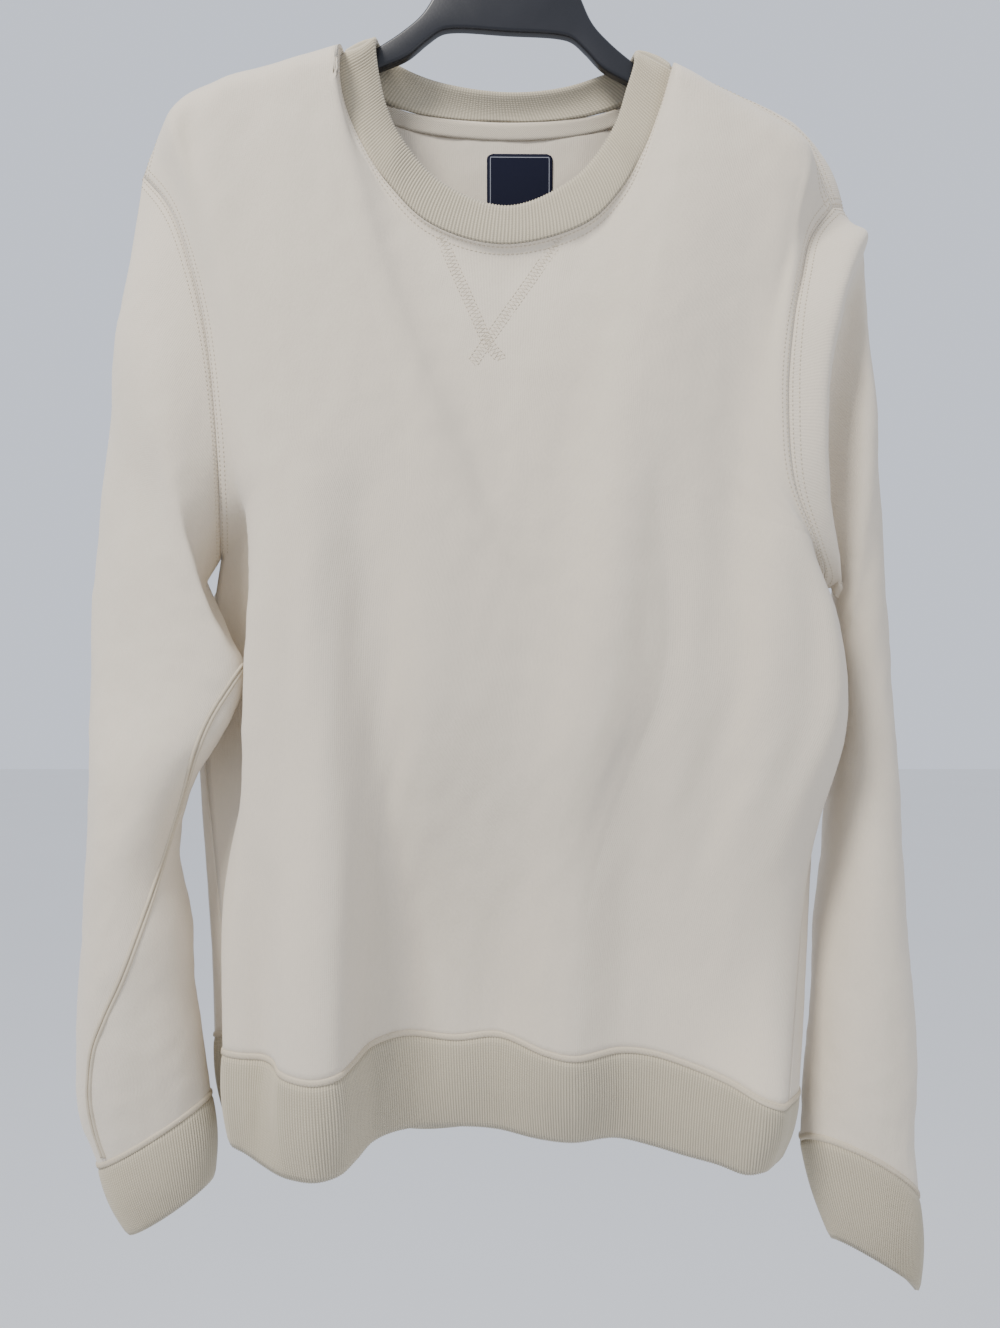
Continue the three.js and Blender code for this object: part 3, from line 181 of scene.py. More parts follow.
LEFT_SIDE_SEAM = Table(
    "x y z",
    (-186, 4, -779), (-189, 5, -720), (-196, 9, -660), (-203, 13, -600), (-203, 14, -540),
    (-198, 11, -500), (-191, 6, -462),
)
RIGHT_SIDE_SEAM = Table(
    "x y z",
    (173, -44, -805), (182, -24, -767), (190, -10, -715), (199, 3, -645), (207, 8, -585),
    (207, 8, -530), (201, 2, -485),
)
LEFT_FRONT_ARMHOLE = Table(
    "x y z",
    (-191, 6, -462), (-186, -15, -437), (-184, -28, -400), (-187, -30, -354), (-193, -28, -313),
    (-203, -24, -275), (-213, -19, -248), (-223, -13, -231), (-240, -2, -211),
)
LEFT_BACK_ARMHOLE = Table(
    "x y z",
    (-191, 6, -462), (-196, 24, -430), (-204, 30, -375), (-212, 29, -320), (-222, 22, -268),
    (-233, 11, -231), (-240, -2, -211),
)
RIGHT_FRONT_ARMHOLE = Table(
    "x y z",
    (201, 2, -485), (203, -20, -475), (192, -39, -457), (176, -48, -421), (172, -48, -368),
    (176, -44, -325), (184, -34, -290), (194, -20, -259), (213, -6, -233),
)
RIGHT_BACK_ARMHOLE = Table(
    "x y z",
    (201, 2, -485), (203, 24, -450), (207, 32, -395), (213, 32, -335), (219, 26, -280), (226, 18, -246),
    (224, 6, -230), (213, -6, -233),
)
LEFT_TURN = Table(
    "z turnX turnY foldX foldY faceX",
    (-779, -178, -6, -180, -30, -168), (-720, -177, -4, -177, -34, -164),
    (-660, -171, 0, -172, -37, -158), (-600, -165, 4, -167, -40, -153),
    (-540, -160, 4, -162, -43, -148), (-500, -161, 0, -161, -41, -147),
    (-462, -168, -8, -164, -37, -150), (-430, -174, -25, -168, -38, -154),
    (-380, -178, -33, -171, -39, -157), (-313, -187, -30, -180, -34, -166),
    (-260, -201, -24, -193, -28, -178), (-211, -232, -6, -222, -9, -205),
)
RIGHT_TURN = Table(
    "z turnX turnY foldX foldY faceX",
    (-805, 169, -50, 164, -53, 157), (-767, 180, -32, 175, -41, 165), (-715, 190, -20, 185, -34, 174),
    (-645, 204, -8, 203, -27, 190), (-585, 216, -4, 216, -24, 202), (-530, 211, -8, 211, -26, 198),
    (-485, 198, -14, 193, -32, 181), (-475, 197, -26, 192, -36, 180), (-457, 189, -42, 184, -45, 174),
    (-421, 173, -49, 169, -49, 160), (-368, 168, -49, 163, -49, 154), (-290, 180, -37, 175, -39, 166),
    (-233, 205, -7, 196, -10, 182),
)
BACK_TURN = Table(
    "z leftX leftY rightX rightY",
    (-805, -198, 16, 188, -14), (-767, -197, 17, 195, -4), (-715, -201, 18, 199, 4),
    (-645, -209, 24, 206, 18), (-585, -212, 28, 210, 22), (-530, -209, 28, 210, 22),
    (-480, -199, 24, 205, 18),
)
FACE_DEPTH = Table(
    "z front back",
    (-805, -34, 34), (-700, -41, 38), (-600, -47, 41), (-500, -50, 40), (-400, -47, 36),
    (-300, -40, 30), (-240, -32, 24), (-190, -22, 19), (-150, -14, 15), (-120, -11, 12),
)
FRONT_FOLDS = Table(
    "topX topZ footX footZ topPush footPush topWide footWide",
    (-112, -330, -112, -760, -2, -17, 30, 24), (-118, -330, -62, -740, 3, 16, 16, 24),
    (85, -310, 42, -720, -5, -6, 22, 30), (15, -420, -10, -760, 2, 14, 34, 34),
    (136, -400, 140, -700, 7, 6, 14, 16), (100, -480, 84, -770, 3, 12, 26, 22),
    (172, -450, 160, -640, -4, -3, 14, 14), (-152, -690, -156, -775, 3, 9, 8, 10),
    (-168, -210, -176, -420, 3, 3, 10, 10),
)
BACK_FOLDS = Table(
    "topX topZ footX footZ topPush footPush topWide footWide",
    (-150, -260, -130, -800, 3, 10, 22, 26), (-70, -330, -60, -800, -1, -9, 26, 26),
    (10, -300, 5, -800, 2, 8, 30, 28), (90, -330, 75, -800, -2, -9, 26, 24),
    (150, -260, 138, -800, 3, 8, 20, 22),
)
FRONT_HEM = Table(
    "x y z endX endY endZ",
    (-180, -30, -778, -174, -32, -835), (-167, -37, -778, -164, -38, -837),
    (-153, -39, -778, -151, -47, -840), (-144, -48, -778, -140, -56, -841),
    (-136, -62, -780, -131, -62, -841), (-116, -69, -782, -115, -66, -841),
    (-102, -65, -780, -102, -58, -841), (-95, -48, -778, -94, -43, -839),
    (-86, -24, -775, -85, -26, -835), (-67, -12, -773, -67, -12, -834), (-34, -14, -775, -34, -8, -834),
    (-6, -14, -773, -8, -9, -835), (24, -28, -780, 20, -15, -839), (42, -32, -782, 42, -16, -841),
    (72, -22, -780, 70, -11, -840), (92, -22, -782, 92, -15, -843), (114, -28, -787, 112, -22, -846),
    (137, -40, -793, 132, -30, -848), (155, -52, -800, 148, -39, -850),
    (167, -51, -804, 159, -38, -849),
)
BACK_HEM = Table(
    "x y z endX endY endZ",
    (-198, 16, -784, -190, 14, -838), (-184, 32, -787, -176, 28, -841),
    (-130, 44, -792, -126, 37, -846), (-60, 25, -795, -60, 22, -849), (5, 42, -797, 4, 34, -850),
    (75, 25, -799, 74, 20, -852), (138, 40, -802, 132, 34, -854), (176, 24, -806, 168, 20, -855),
    (188, -14, -808, 178, -8, -853),
)
LEFT_SHOULDER = Table(
    "x y z",
    (-240, -2, -211), (-235, 0, -196), (-228, 2, -182), (-207, 3, -159), (-189, 3, -150.5),
    (-151, 2, -140.5), (-108, 0, -128),
)
RIGHT_SHOULDER = Table(
    "x y z",
    (213, -6, -233), (206, -9, -220), (199, -10, -205), (191, -10, -192), (180, -10, -184),
    (142, -10, -162), (107, -9, -143),
)
RIGHT_CREST = Table(
    "x y z",
    (224, 6, -230), (219, 2, -214), (211, 1, -199), (199, 1, -185), (184, 1, -174), (144, 1, -154),
    (107, 0, -138),
)
FRONT_NECK = Table(
    "x y z",
    (-108, 0, -128), (-109, -9, -137), (-108, -13, -156), (-103, -18, -177), (-92, -24, -202),
    (-77, -29, -227), (-49, -34, -256), (-3, -36, -270), (49, -34, -256), (71, -31, -234),
    (85, -26, -208), (98, -18, -174), (107, -9, -143),
)
BACK_NECK = Table(
    "x y z",
    (-108, 0, -128), (-107, 7, -130), (-102, 12, -137), (-87, 17, -149), (-60, 21, -158), (0, 24, -163),
    (60, 21, -158), (89, 16, -148), (102, 8, -140), (106, -1, -138), (107, -9, -143),
)
FRONT_COLLAR_EDGE = Table(
    "x y z",
    (-86, -1, -120), (-86, -12, -126), (-85, -12, -138), (-83, -13, -151), (-78, -16, -172),
    (-68, -22, -195), (-42, -29, -227), (0, -33, -244), (42, -29, -224), (67, -21, -189),
    (77, -15, -159), (81, -13, -146), (83, -11, -136), (84, -3, -129),
)
BACK_COLLAR_EDGE = Table(
    "x y z",
    (-86, -1, -120), (-84, 8, -120), (-79, 12, -125), (-70, 14, -130), (-45, 15, -139), (0, 16, -145),
    (39, 15, -142), (67, 13, -134), (79, 11, -130), (84, -3, -129),
)
LEFT_SLEEVE = Table(
    "x y z inX inY inZ front back bow rise turn",
    (-226, -4, -392, 28, -4, -93, 34, 34, 14, 0, 0), (-222, -6, -450, 46, -18, -68, 28, 26, 8, 0, 0),
    (-221, -8, -500, 55, -21, -34, 23, 19, 0, 0, 0), (-226, -9, -550, 53, -19, -14, 23, 17, 0, 0, 4),
    (-238, -11, -604, 36, -10, -5, 31, 28, 0, 0, 18), (-243, -12, -655, 29, -2, 1, 35, 37, 0, 0, 50),
    (-240, -13, -705, 34, 0, 4, 34, 38, 0, 0, 88), (-240, -12, -755, 37, 0, 9, 32, 34, 0, 0, 118),
    (-238, -11, -800, 40, 0, 15, 28, 29, 0, 0, 134), (-230, -8, -836, 36, 0, 22, 23, 24, 0, 0, 140),
)
RIGHT_SLEEVE = Table(
    "x y z inX inY inZ front back bow rise turn",
    (227, 2, -364, -10, -4, -119, 51, 33, -32, 0, 0), (227, 2, -375, -10, -3, -116, 12, 36, -21, 0, 0),
    (230, 4, -405, -9, -4, -104, 27, 38, -4, 0, 0), (234, 9, -470, -13, -2, -60, 28, 40, 0, 0, 0),
    (238, 14, -531, -16, -2, -24, 29, 41, 0, 0, 0), (241, 18, -584, -19, 0, -8, 33, 41, 0, 0, -5),
    (240, 18, -650, -24, 0, -2, 36, 40, 0, 0, -10), (238, 14, -720, -30, 0, 0, 36, 38, 0, 0, -15),
    (236, 7, -785, -34, 0, 4, 32, 34, 0, 2, -20), (232, 2, -832, -37, 0, 12, 28, 28, 0, 10, -20),
    (231, -3, -865, -38, 0, 20, 24, 24, 0, 18, -20),
)

# Sewn lines: x and z in mm where the camera sees them on the plane through the hook
V_LEFT_ARM = Table("x z", (-44.6, -248.6), (-34, -273), (-23, -297.5), (-12.3, -320.6), (-3.7, -331.2))
V_RIGHT_ARM = Table("x z", (34.6, -250.6), (19, -273), (3, -295.5), (-12.9, -317.9), (-23.5, -333.8))
UNDERARM_SEAM = Table(
    "x z",
    (-173, -531), (-183, -546), (-196.6, -568), (-206, -590), (-216, -624), (-236, -688), (-255.4, -741),
    (-266.6, -766), (-274, -786), (-276.5, -806), (-276.5, -821), (-273, -840), (-267, -858),
)
TWIN_ROWS = (2.2, 6.4)
V_ROWS = (-3.2, 3.2)
V_STEPS = 60
UNDERARM_STEPS = 160

# How many rows of each cloth lie beside its seams
HEM_ROWS = 4
CUFF_ROWS = 7
TOP_ROWS = 13
HEAD_ROWS = 12

# Rolled bands over the seams, in mm
COVER_WIDTH = 3.6
COVER_HEIGHT = 0.9
COVER_OVERLAP = 0.15
COVER_STEPS = 7
COVER_EDGE = 0.1
COVER_DEPTH = 0.3
ROLL_WIDTH = 2.2
ROLL_HEIGHT = 1.0
ROLL_SHIFT = 0.55

HANGER_OUTLINE = Table(
    "x z",
    (0, -62), (22, -63), (38, -72), (46, -88), (56, -107), (68, -119), (84, -131), (97, -139),
    (130, -152), (182, -174), (190, -181), (189, -188), (182, -190), (130, -168), (82, -145),
    (64, -136), (52, -125), (43, -118), (34, -116), (0, -116),
)
HEM_SIDE_ENDS = Table("x y z", (-180, 4, -836), (168, -26, -851))
LEFT_CUFF_END = {
    "x": -219, "y": -9, "z": -884, "inX": 27, "inY": 0, "inZ": 17,
    "front": 19, "back": 20, "bow": 0, "rise": 0, "turn": 140,
}
RIGHT_CUFF_END = {
    "x": 240, "y": -6, "z": -925, "inX": -28, "inY": 0, "inZ": 17,
    "front": 19, "back": 20, "bow": 0, "rise": 10, "turn": -20,
}


def smoothstep(value: Any, low: float, high: float) -> Any:
    """Eases from 0 at low to 1 at high."""
    share = np.clip((np.asarray(value, dtype=float) - low) / (high - low), 0, 1)
    return share * share * (3 - 2 * share)


def lerp(a: Any, b: Any, share: Any) -> Any:
    """Mixes two values."""
    return a + (b - a) * share


def spline(points: Points, shares: Points) -> Points:
    """Places on a centripetal curve through points.

    Args:
        points: The points it passes, along the second last axis.
        shares: Places along it, from 0 to 1, an equal share for each span.

    Returns:
        One point for each share, in place of the second last axis.
    """
    first = 2 * points[..., :1, :] - points[..., 1:2, :]
    final = 2 * points[..., -1:, :] - points[..., -2:-1, :]
    full = np.concatenate([first, points, final], axis=-2)
    spans = points.shape[-2] - 1
    place = np.clip(shares, 0, 1) * spans
    start = np.minimum(place.astype(int), spans - 1)
    t = (place - start)[:, None]
    p0, p1, p2, p3 = (full[..., start + k, :] for k in range(4))

    def spacing(a: Points, b: Points) -> Points:
        """Returns the root of the distance between two rows of points."""
        return np.maximum(np.sqrt(np.linalg.norm(b - a, axis=-1, keepdims=True)), 1e-4)

    d0, d1, d2 = spacing(p0, p1), spacing(p1, p2), spacing(p2, p3)
    t1 = ((p1 - p0) / d0 - (p2 - p0) / (d0 + d1) + (p2 - p1) / d1) * d1
    t2 = ((p2 - p1) / d1 - (p3 - p1) / (d1 + d2) + (p3 - p2) / d2) * d1
    c2 = -3 * p1 + 3 * p2 - 2 * t1 - t2
    c3 = 2 * p1 - 2 * p2 + t1 + t2
    return p1 + t1 * t + c2 * t**2 + c3 * t**3


def curve(points: Points, steps: int) -> Points:
    """Points along a smooth curve, steps + 1 of them."""
    return spline(points, np.linspace(0, 1, steps + 1))


def reach(points: Points) -> Points:
    """Distance along a polyline at each of its points."""
    return np.concatenate([[0], np.cumsum(np.linalg.norm(np.diff(points, axis=0), axis=1))])


def at_shares(points: Points, shares: Points) -> Points:
    """Places at shares of a polyline's length."""
    along = reach(points)
    spots = np.asarray(shares) * along[-1]
    return np.column_stack([np.interp(spots, along, points[:, k]) for k in range(points.shape[1])])


def evenly(points: Points, count: int) -> Points:
    """Points at equal steps along a polyline."""
    return at_shares(points, np.linspace(0, 1, count + 1))


def crowded(points: Points, count: int) -> Points:
    """Points along a neck zone, closer together at its corners, where the cloth rolls over."""
    even = np.linspace(0, 1, count + 1)
    return at_shares(points, lerp(even, (1 - np.cos(np.pi * even)) / 2, NECK_CROWDING))


def unit(directions: Points) -> Points:
    """Scales directions to a length of one."""
    return directions / np.maximum(np.linalg.norm(directions, axis=-1, keepdims=True), TINY)


def fold_depth(folds: Table, x: Points, z: float) -> Points:
    """Depth that the long folds add across a face at one level."""
    depth = np.zeros_like(x)
    for top_x, top_z, foot_x, foot_z, top_push, foot_push, top_wide, foot_wide in folds.rows:
        along = (top_z - z) / (top_z - foot_z)
        share = min(max(along, 0), 1)
        middle = lerp(top_x, foot_x, share)
        wide = lerp(top_wide, foot_wide, share)
        push = smoothstep(along, *FOLD_ONSET) * lerp(top_push, foot_push, share)
        depth += push * np.exp(-(((x - middle) / wide) ** 2))
    return depth


def side_point(seam: Points, armhole: Points, row: int) -> Points:
    """The row's place along the side seam, then along the armhole."""
    if row <= SIDE_ROWS:
        return at_shares(seam, [row / SIDE_ROWS])[0]
    climb = (row - SIDE_ROWS) / ARMHOLE_ROWS
    return at_shares(armhole, [1 - (1 - climb) ** ROW_CROWDING])[0]


def resample_row(points: Points, zones: Zones) -> Points:
    """Splits a row into the panel's zones at the neck corners' shares of its length."""
    shares = np.linspace(0, 1, zones.neck + 1)
    shares = lerp(shares, (1 - np.cos(np.pi * shares)) / 2, NECK_CROWDING)
    return at_shares(points, np.concatenate([
        np.linspace(0, zones.from_share, zones.left + 1),
        lerp(zones.from_share, zones.to_share, shares[1:]),
        np.linspace(zones.to_share, 1, zones.right + 1)[1:],
    ]))


def grid_normals(grid: Points, closed: bool, facing: float) -> Points:
    """Unit normals of a grid of points, to the side that facing says."""
    if closed:
        along = np.roll(grid, -1, axis=1) - np.roll(grid, 1, axis=1)
    else:
        along = np.gradient(grid, axis=1)
    normals = np.cross(along, np.gradient(grid, axis=0)) * facing
    return unit(normals)


def share_normals(first: Points, second: Points) -> None:
    """Gives two walls one shared direction through their cloth along a seam."""
    first[:] = second[:] = unit(first + second)


def beside_seam(grid: Points, normals: Points, distance: float) -> tuple[Points, Points]:
    """A line that runs beside a seam, on the cloth.

    Args:
        grid: Rows of points that each start at the seam.
        normals: Directions out of the cloth at them.
        distance: How far from the seam it runs, in mm along the cloth.

    Returns:
        The line's points, and the directions out of the cloth there.
    """
    line, outward = [], []
    for row, out in zip(grid, normals):
        along = reach(row)
        line.append([np.interp(distance, along, row[:, k]) for k in range(3)])
        outward.append([np.interp(distance, along, out[:, k]) for k in range(3)])
    return np.array(line), np.array(outward)


def wander(points: Points, size: float, seed: float) -> Points:
    """Smooth noise from -1 to 1 at places in mm, with swells of a size in mm."""
    flat = points.reshape(-1, points.shape[-1]) / size + seed
    values = np.array([noise.noise(Vector(place)) for place in flat])
    return values.reshape(points.shape[:-1])


class Wall:
    """Builds the cloth walls of named pieces from grids of points."""

    @staticmethod
    def sheet(mesh: bmesh.types.BMesh, grid: Points, uv: Points) -> list[bmesh.types.BMVert]:
        """Adds one face of cloth.

        Args:
            mesh: The mesh that it joins.
            grid: Its points in mm, by row and column.
            uv: Its pattern coordinates in metres, by row and column.

        Returns:
            Its vertices, row by row.
        """
        rows, columns = grid.shape[:2]
        made = bmesh.ops.create_grid(mesh, x_segments=columns - 1, y_segments=rows - 1, size=1)["verts"]
        layer = mesh.loops.layers.uv.verify()
        flat_uv = uv.reshape(-1, 2)
        for vert, place, pattern in zip(made, grid.reshape(-1, 3) * MM, flat_uv):
            vert.co = place
            for loop in vert.link_loops:
                loop[layer].uv = pattern
        return made

    @staticmethod
    def piece(name: str, outer: Points, inner: Points, uv: Points, closed: bool) -> bpy.types.Object:
        """Builds a closed wall between an outer and an inner grid.

        Args:
            name: The piece's name.
            outer: Outer points in mm, by row and column.
            inner: Inner points, of the same counts.
            uv: Pattern coordinates in metres for both.
            closed: Whether the last column meets the first.

        Returns:
            The piece's object.
        """
        if closed:
            outer = np.concatenate([outer, outer[:, :1]], axis=1)
            inner = np.concatenate([inner, inner[:, :1]], axis=1)
            step, span = uv[:, -1:] - uv[:, -2:-1], uv[:, -1:] - uv[:, :1]
            uv = np.concatenate([uv, uv[:, :1] + step + span], axis=1)
        mesh = bmesh.new()
        rows, columns = outer.shape[:2]
        near = Wall.sheet(mesh, outer, uv)
        far = Wall.sheet(mesh, inner, uv)
        far_faces = list({face for vert in far for face in vert.link_faces})
        bmesh.ops.reverse_faces(mesh, faces=far_faces)
        if closed:
            bmesh.ops.remove_doubles(mesh, verts=near[::columns] + near[columns - 1::columns], dist=WELD)
            bmesh.ops.remove_doubles(mesh, verts=far[::columns] + far[columns - 1::columns], dist=WELD)
            for part in (slice(0, columns), slice(-columns, None)):
                bmesh.ops.bridge_loops(mesh, edges=Wall.rim(mesh, near[part] + far[part]))
        else:
            edges = [edge for edge in mesh.edges if edge.is_boundary]
            bmesh.ops.bridge_loops(mesh, edges=edges)
        return Wall.finish(name, mesh)

    @staticmethod
    def rim(mesh: bmesh.types.BMesh, verts: list[bmesh.types.BMVert]) -> list[bmesh.types.BMEdge]:
        """The open edges that join some of the mesh's vertices."""
        line = {vert for vert in verts if vert.is_valid}
        return [edge for edge in mesh.edges if edge.is_boundary and line.issuperset(edge.verts)]

    @staticmethod
    def finish(name: str, mesh: bmesh.types.BMesh) -> bpy.types.Object:
        """Turns a mesh the right way out and makes it a smooth object in the scene."""
        if mesh.calc_volume(signed=True) < 0:
            bmesh.ops.reverse_faces(mesh, faces=mesh.faces)
        for face in mesh.faces:
            face.smooth = True
        data = bpy.data.meshes.new(name)
        mesh.to_mesh(data)
        mesh.free()
        piece = bpy.data.objects.new(name, data)
        bpy.context.scene.collection.objects.link(piece)
        return piece


def flat_uv(grid: Points) -> Points:
    """Pattern coordinates in metres that follow a grid's own lengths."""
    steps_across = np.linalg.norm(np.diff(grid, axis=1), axis=2).mean(axis=0)
    steps_up = np.linalg.norm(np.diff(grid, axis=0), axis=2).mean(axis=1)
    across = np.concatenate([[0], np.cumsum(steps_across)]) * MM
    up = np.concatenate([[0], np.cumsum(steps_up)]) * MM
    return np.stack(np.meshgrid(across, up), axis=2)


@dataclass
class Body:
    """The front and back panels, on one shared set of seams."""

    front: Points = field(init=False)
    back: Points = field(init=False)
    front_normals: Points = field(init=False)
    back_normals: Points = field(init=False)
    left_front: Points = field(init=False)
    left_back: Points = field(init=False)
    right_front: Points = field(init=False)
    right_back: Points = field(init=False)

    def __post_init__(self) -> None:
        """Lays out both panels."""
        left_side, right_side = (curve(t.points(), SEAM_STEPS) for t in (LEFT_SIDE_SEAM, RIGHT_SIDE_SEAM))
        arms = [
            curve(t.points(), SEAM_STEPS)
            for t in (LEFT_FRONT_ARMHOLE, LEFT_BACK_ARMHOLE, RIGHT_FRONT_ARMHOLE, RIGHT_BACK_ARMHOLE)
        ]
        sides = (left_side, left_side, right_side, right_side)
        self.left_front, self.left_back, self.right_front, self.right_back = (
            np.array([side_point(side, arm, row) for row in range(ROWS + 1)])
            for side, arm in zip(sides, arms)
        )
        self.front = self.panel(
            FRONT_ZONES, self.front_plan, FRONT_NECK, self.hem_line(FRONT_HEM, True),
            self.left_front, self.right_front, None,
        )
        self.back = self.panel(
            BACK_ZONES, self.back_plan, BACK_NECK, self.hem_line(BACK_HEM, False),
            self.left_back, self.right_back, RIGHT_CREST,
        )
        self.front = self.eased(self.front)
        self.front_normals = grid_normals(self.front, False, 1)
        self.back_normals = grid_normals(self.back, False, -1)
        for row in range(SIDE_ROWS + 1):
            share_normals(self.front_normals[row, :1], self.back_normals[row, :1])
            share_normals(self.front_normals[row, -1:], self.back_normals[row, -1:])
        left, right = FRONT_ZONES.left + 1, FRONT_ZONES.right + 1
        share_normals(self.front_normals[-1, :left], self.back_normals[-1, :left])
        share_normals(self.front_normals[-1, -right:], self.back_normals[-1, -right:])
        for normals in (self.front_normals[0], self.back_normals[0]):
            normals[:, 2] = 0
            normals[:] = unit(normals)

    @staticmethod
    def eased(grid: Points) -> Points:
        """Softens the sharp creases that run down from the two corners of the neck."""
        grid = grid.copy()
        x, z = grid[1:-1, 1:-1, 0], grid[1:-1, 1:-1, 2]
        near_corner = np.exp(-(((np.abs(x) - CREASE_X) / CREASE_WIDTH) ** 2))
        rows_left = len(grid) - CREASE_MARGIN - np.arange(1, len(grid) - 1)
        below = np.clip(rows_left / CREASE_MARGIN, 0, 1)[:, None]
        share = near_corner * below * smoothstep(z, *CREASE_RISE) * (1 - smoothstep(z, *CREASE_TOP))
        for _ in range(CREASE_EASING):
            around = (grid[:-2, 1:-1] + grid[2:, 1:-1] + grid[1:-1, :-2] + grid[1:-1, 2:]) / 4
            grid[1:-1, 1:-1] = lerp(grid[1:-1, 1:-1], around, share[..., None] * CREASE_STRENGTH)
        return grid

    @staticmethod
    def hem_line(table: Table, is_front: bool) -> Points:
        """The hem edge of a panel, from the left side seam to the right one."""
        first, last = LEFT_SIDE_SEAM.points()[:1], RIGHT_SIDE_SEAM.points()[:1]
        turn = [HEM_TURN] if is_front else np.empty((0, 3))
        return curve(np.concatenate([first, turn, table.points(), last]), HEM_STEPS)

    def climb(self, row: int) -> float:
        """How far up its columns a row lies, from 0 at the hem to 1 at the shoulder."""
        rise = self.left_front[row, 2] + self.right_front[row, 2]
        foot = self.left_front[0, 2] + self.right_front[0, 2]
        top = self.left_front[-1, 2] + self.right_front[-1, 2]
        return (rise - foot) / (top - foot)

    def front_plan(self, row: int) -> Points:
        """One level row of the front in plan."""
        left, right = self.left_front[row], self.right_front[row]
        level = (left[2] + right[2]) / 2
        turn_left = {name: LEFT_TURN.read("z", name, left[2]) for name in LEFT_TURN.names[1:]}
        turn_right = {name: RIGHT_TURN.read("z", name, right[2]) for name in RIGHT_TURN.names[1:]}
        x = np.linspace(turn_left["faceX"], turn_right["faceX"], FRONT_FACE_POINTS)
        y = FACE_DEPTH.read("z", "front", level) + fold_depth(FRONT_FOLDS, x, level)
        return curve(np.array([
            (left[0], left[1], 0),
            (turn_left["turnX"], turn_left["turnY"], 0),
            (turn_left["foldX"], turn_left["foldY"], 0),
            *np.column_stack([x, y, np.zeros_like(x)]),
            (turn_right["foldX"], turn_right["foldY"], 0),
            (turn_right["turnX"], turn_right["turnY"], 0),
            (right[0], right[1], 0),
        ]), ROW_STEPS)

    def back_plan(self, row: int) -> Points:
        """One level row of the back in plan."""
        left, right = self.left_back[row], self.right_back[row]
        level = (left[2] + right[2]) / 2
        low = float(smoothstep(-level, *BACK_LOW))
        corner = {name: BACK_TURN.read("z", name, level) for name in BACK_TURN.names[1:]}

        def face(x: Points) -> Points:
            """Returns the depth of the back's face at places across it."""
            return FACE_DEPTH.read("z", "back", level) + fold_depth(BACK_FOLDS, np.atleast_1d(x), level)

        in_left, in_right = (
            np.array([
                end[0] + way * CORNER_STEP,
                lerp(end[1], face(end[0] + way * CORNER_REACH)[0], CORNER_DEPTH),
                0,
            ])
            for end, way in ((left, 1), (right, -1))
        )
        low_left, low_right = LOW_FACE_STEPS
        first, last = left[0] + lerp(FACE_STEP, low_left, low), right[0] - lerp(FACE_STEP, low_right, low)
        x = np.linspace(first, last, BACK_FACE_POINTS)
        return curve(np.array([
            (left[0], left[1], 0),
            lerp(in_left, np.array([corner["leftX"], corner["leftY"], 0]), low),
            *np.column_stack([x, face(x), np.zeros_like(x)]),
            lerp(in_right, np.array([corner["rightX"], corner["rightY"], 0]), low),
            (right[0], right[1], 0),
        ]), ROW_STEPS)

    def panel(
        self, zones: Zones, plan: Callable[[int], Points], neck: Table, hem_line: Points,
        left: Points, right: Points, crest: Table | None,
    ) -> Points:
        """Lays out a panel's outer points.

        Args:
            zones: Its column counts.
            plan: Returns a level row in plan.
            neck: Its neck seam.
            hem_line: Its hem edge.
            left: The seam at its left edge, row by row.
            right: The seam at its right edge.
            crest: What its right shoulder climbs over, or None.

        Returns:
            Points from the hem up and from left to right.
        """
        top = np.concatenate([
            evenly(curve(LEFT_SHOULDER.points(), SHOULDER_STEPS), zones.left),
            crowded(curve(neck.points(), NECK_STEPS), zones.neck)[1:],
            evenly(curve(RIGHT_SHOULDER.points()[::-1], SHOULDER_STEPS), zones.right)[1:],
        ])
        crests = None
        if crest is not None:
            crests = evenly(curve(crest.points()[::-1], SHOULDER_STEPS), zones.right)[1:]
        hem = resample_row(hem_line, zones)
        grid = []
        for row in range(ROWS + 1):
            climb = self.climb(row)
            fan = float(smoothstep(climb, FAN_START, 1)) ** FAN_POWER
            low = 1 - float(smoothstep(climb, 0, HEM_REACH))
            across = resample_row(plan(row), zones)
            z = lerp(hem[:, 2], top[:, 2], climb)
            x = lerp(lerp(across[:, 0], hem[:, 0], low), top[:, 0], fan)
            y = lerp(across[:, 1], hem[:, 1], low)
            below = top[:, 2] - z
            rolled = np.sqrt(np.maximum(1 - (1 - np.minimum(below / SHOULDER_ROLL, 1)) ** 2, 0))
            line = np.column_stack([x, lerp(top[:, 1], y, 0 if row == ROWS else rolled), z])
            if crests is not None and row < ROWS:
                tail = slice(zones.left + zones.neck + 1, None)
                flat = np.column_stack([x, y, z])[tail]
                line[tail] = self.over_crest(top[tail], crests, flat, below[tail])
            grid.append(line)
        return self.pinned(np.array(grid), zones, left, right)

    @staticmethod
    def over_crest(top: Points, crest: Points, point: Points, below: Points) -> Points:
        """Places points near a top edge by their distance below it along the cloth."""
        climb = np.linalg.norm(top - crest, axis=1)
        turn = np.minimum(below / climb, 1)[:, None] * math.pi / 2
        up = lerp(top, crest, np.sin(turn))
        up[:, 1] = lerp(top[:, 1], crest[:, 1], 1 - np.cos(turn[:, 0]))
        past = np.clip((below - climb) / SHOULDER_ROLL, 0, 1)
        rolled = np.sqrt(1 - (1 - past) ** 2)
        ease = np.exp(-np.maximum(below - climb, 0) / SHOULDER_ROLL)
        down = np.column_stack([
            lerp(point[:, 0], crest[:, 0], ease),
            lerp(crest[:, 1], point[:, 1], rolled),
            point[:, 2] + (crest[:, 2] + climb - top[:, 2]) * ease,
        ])
        return np.where((below < climb)[:, None], up, down)

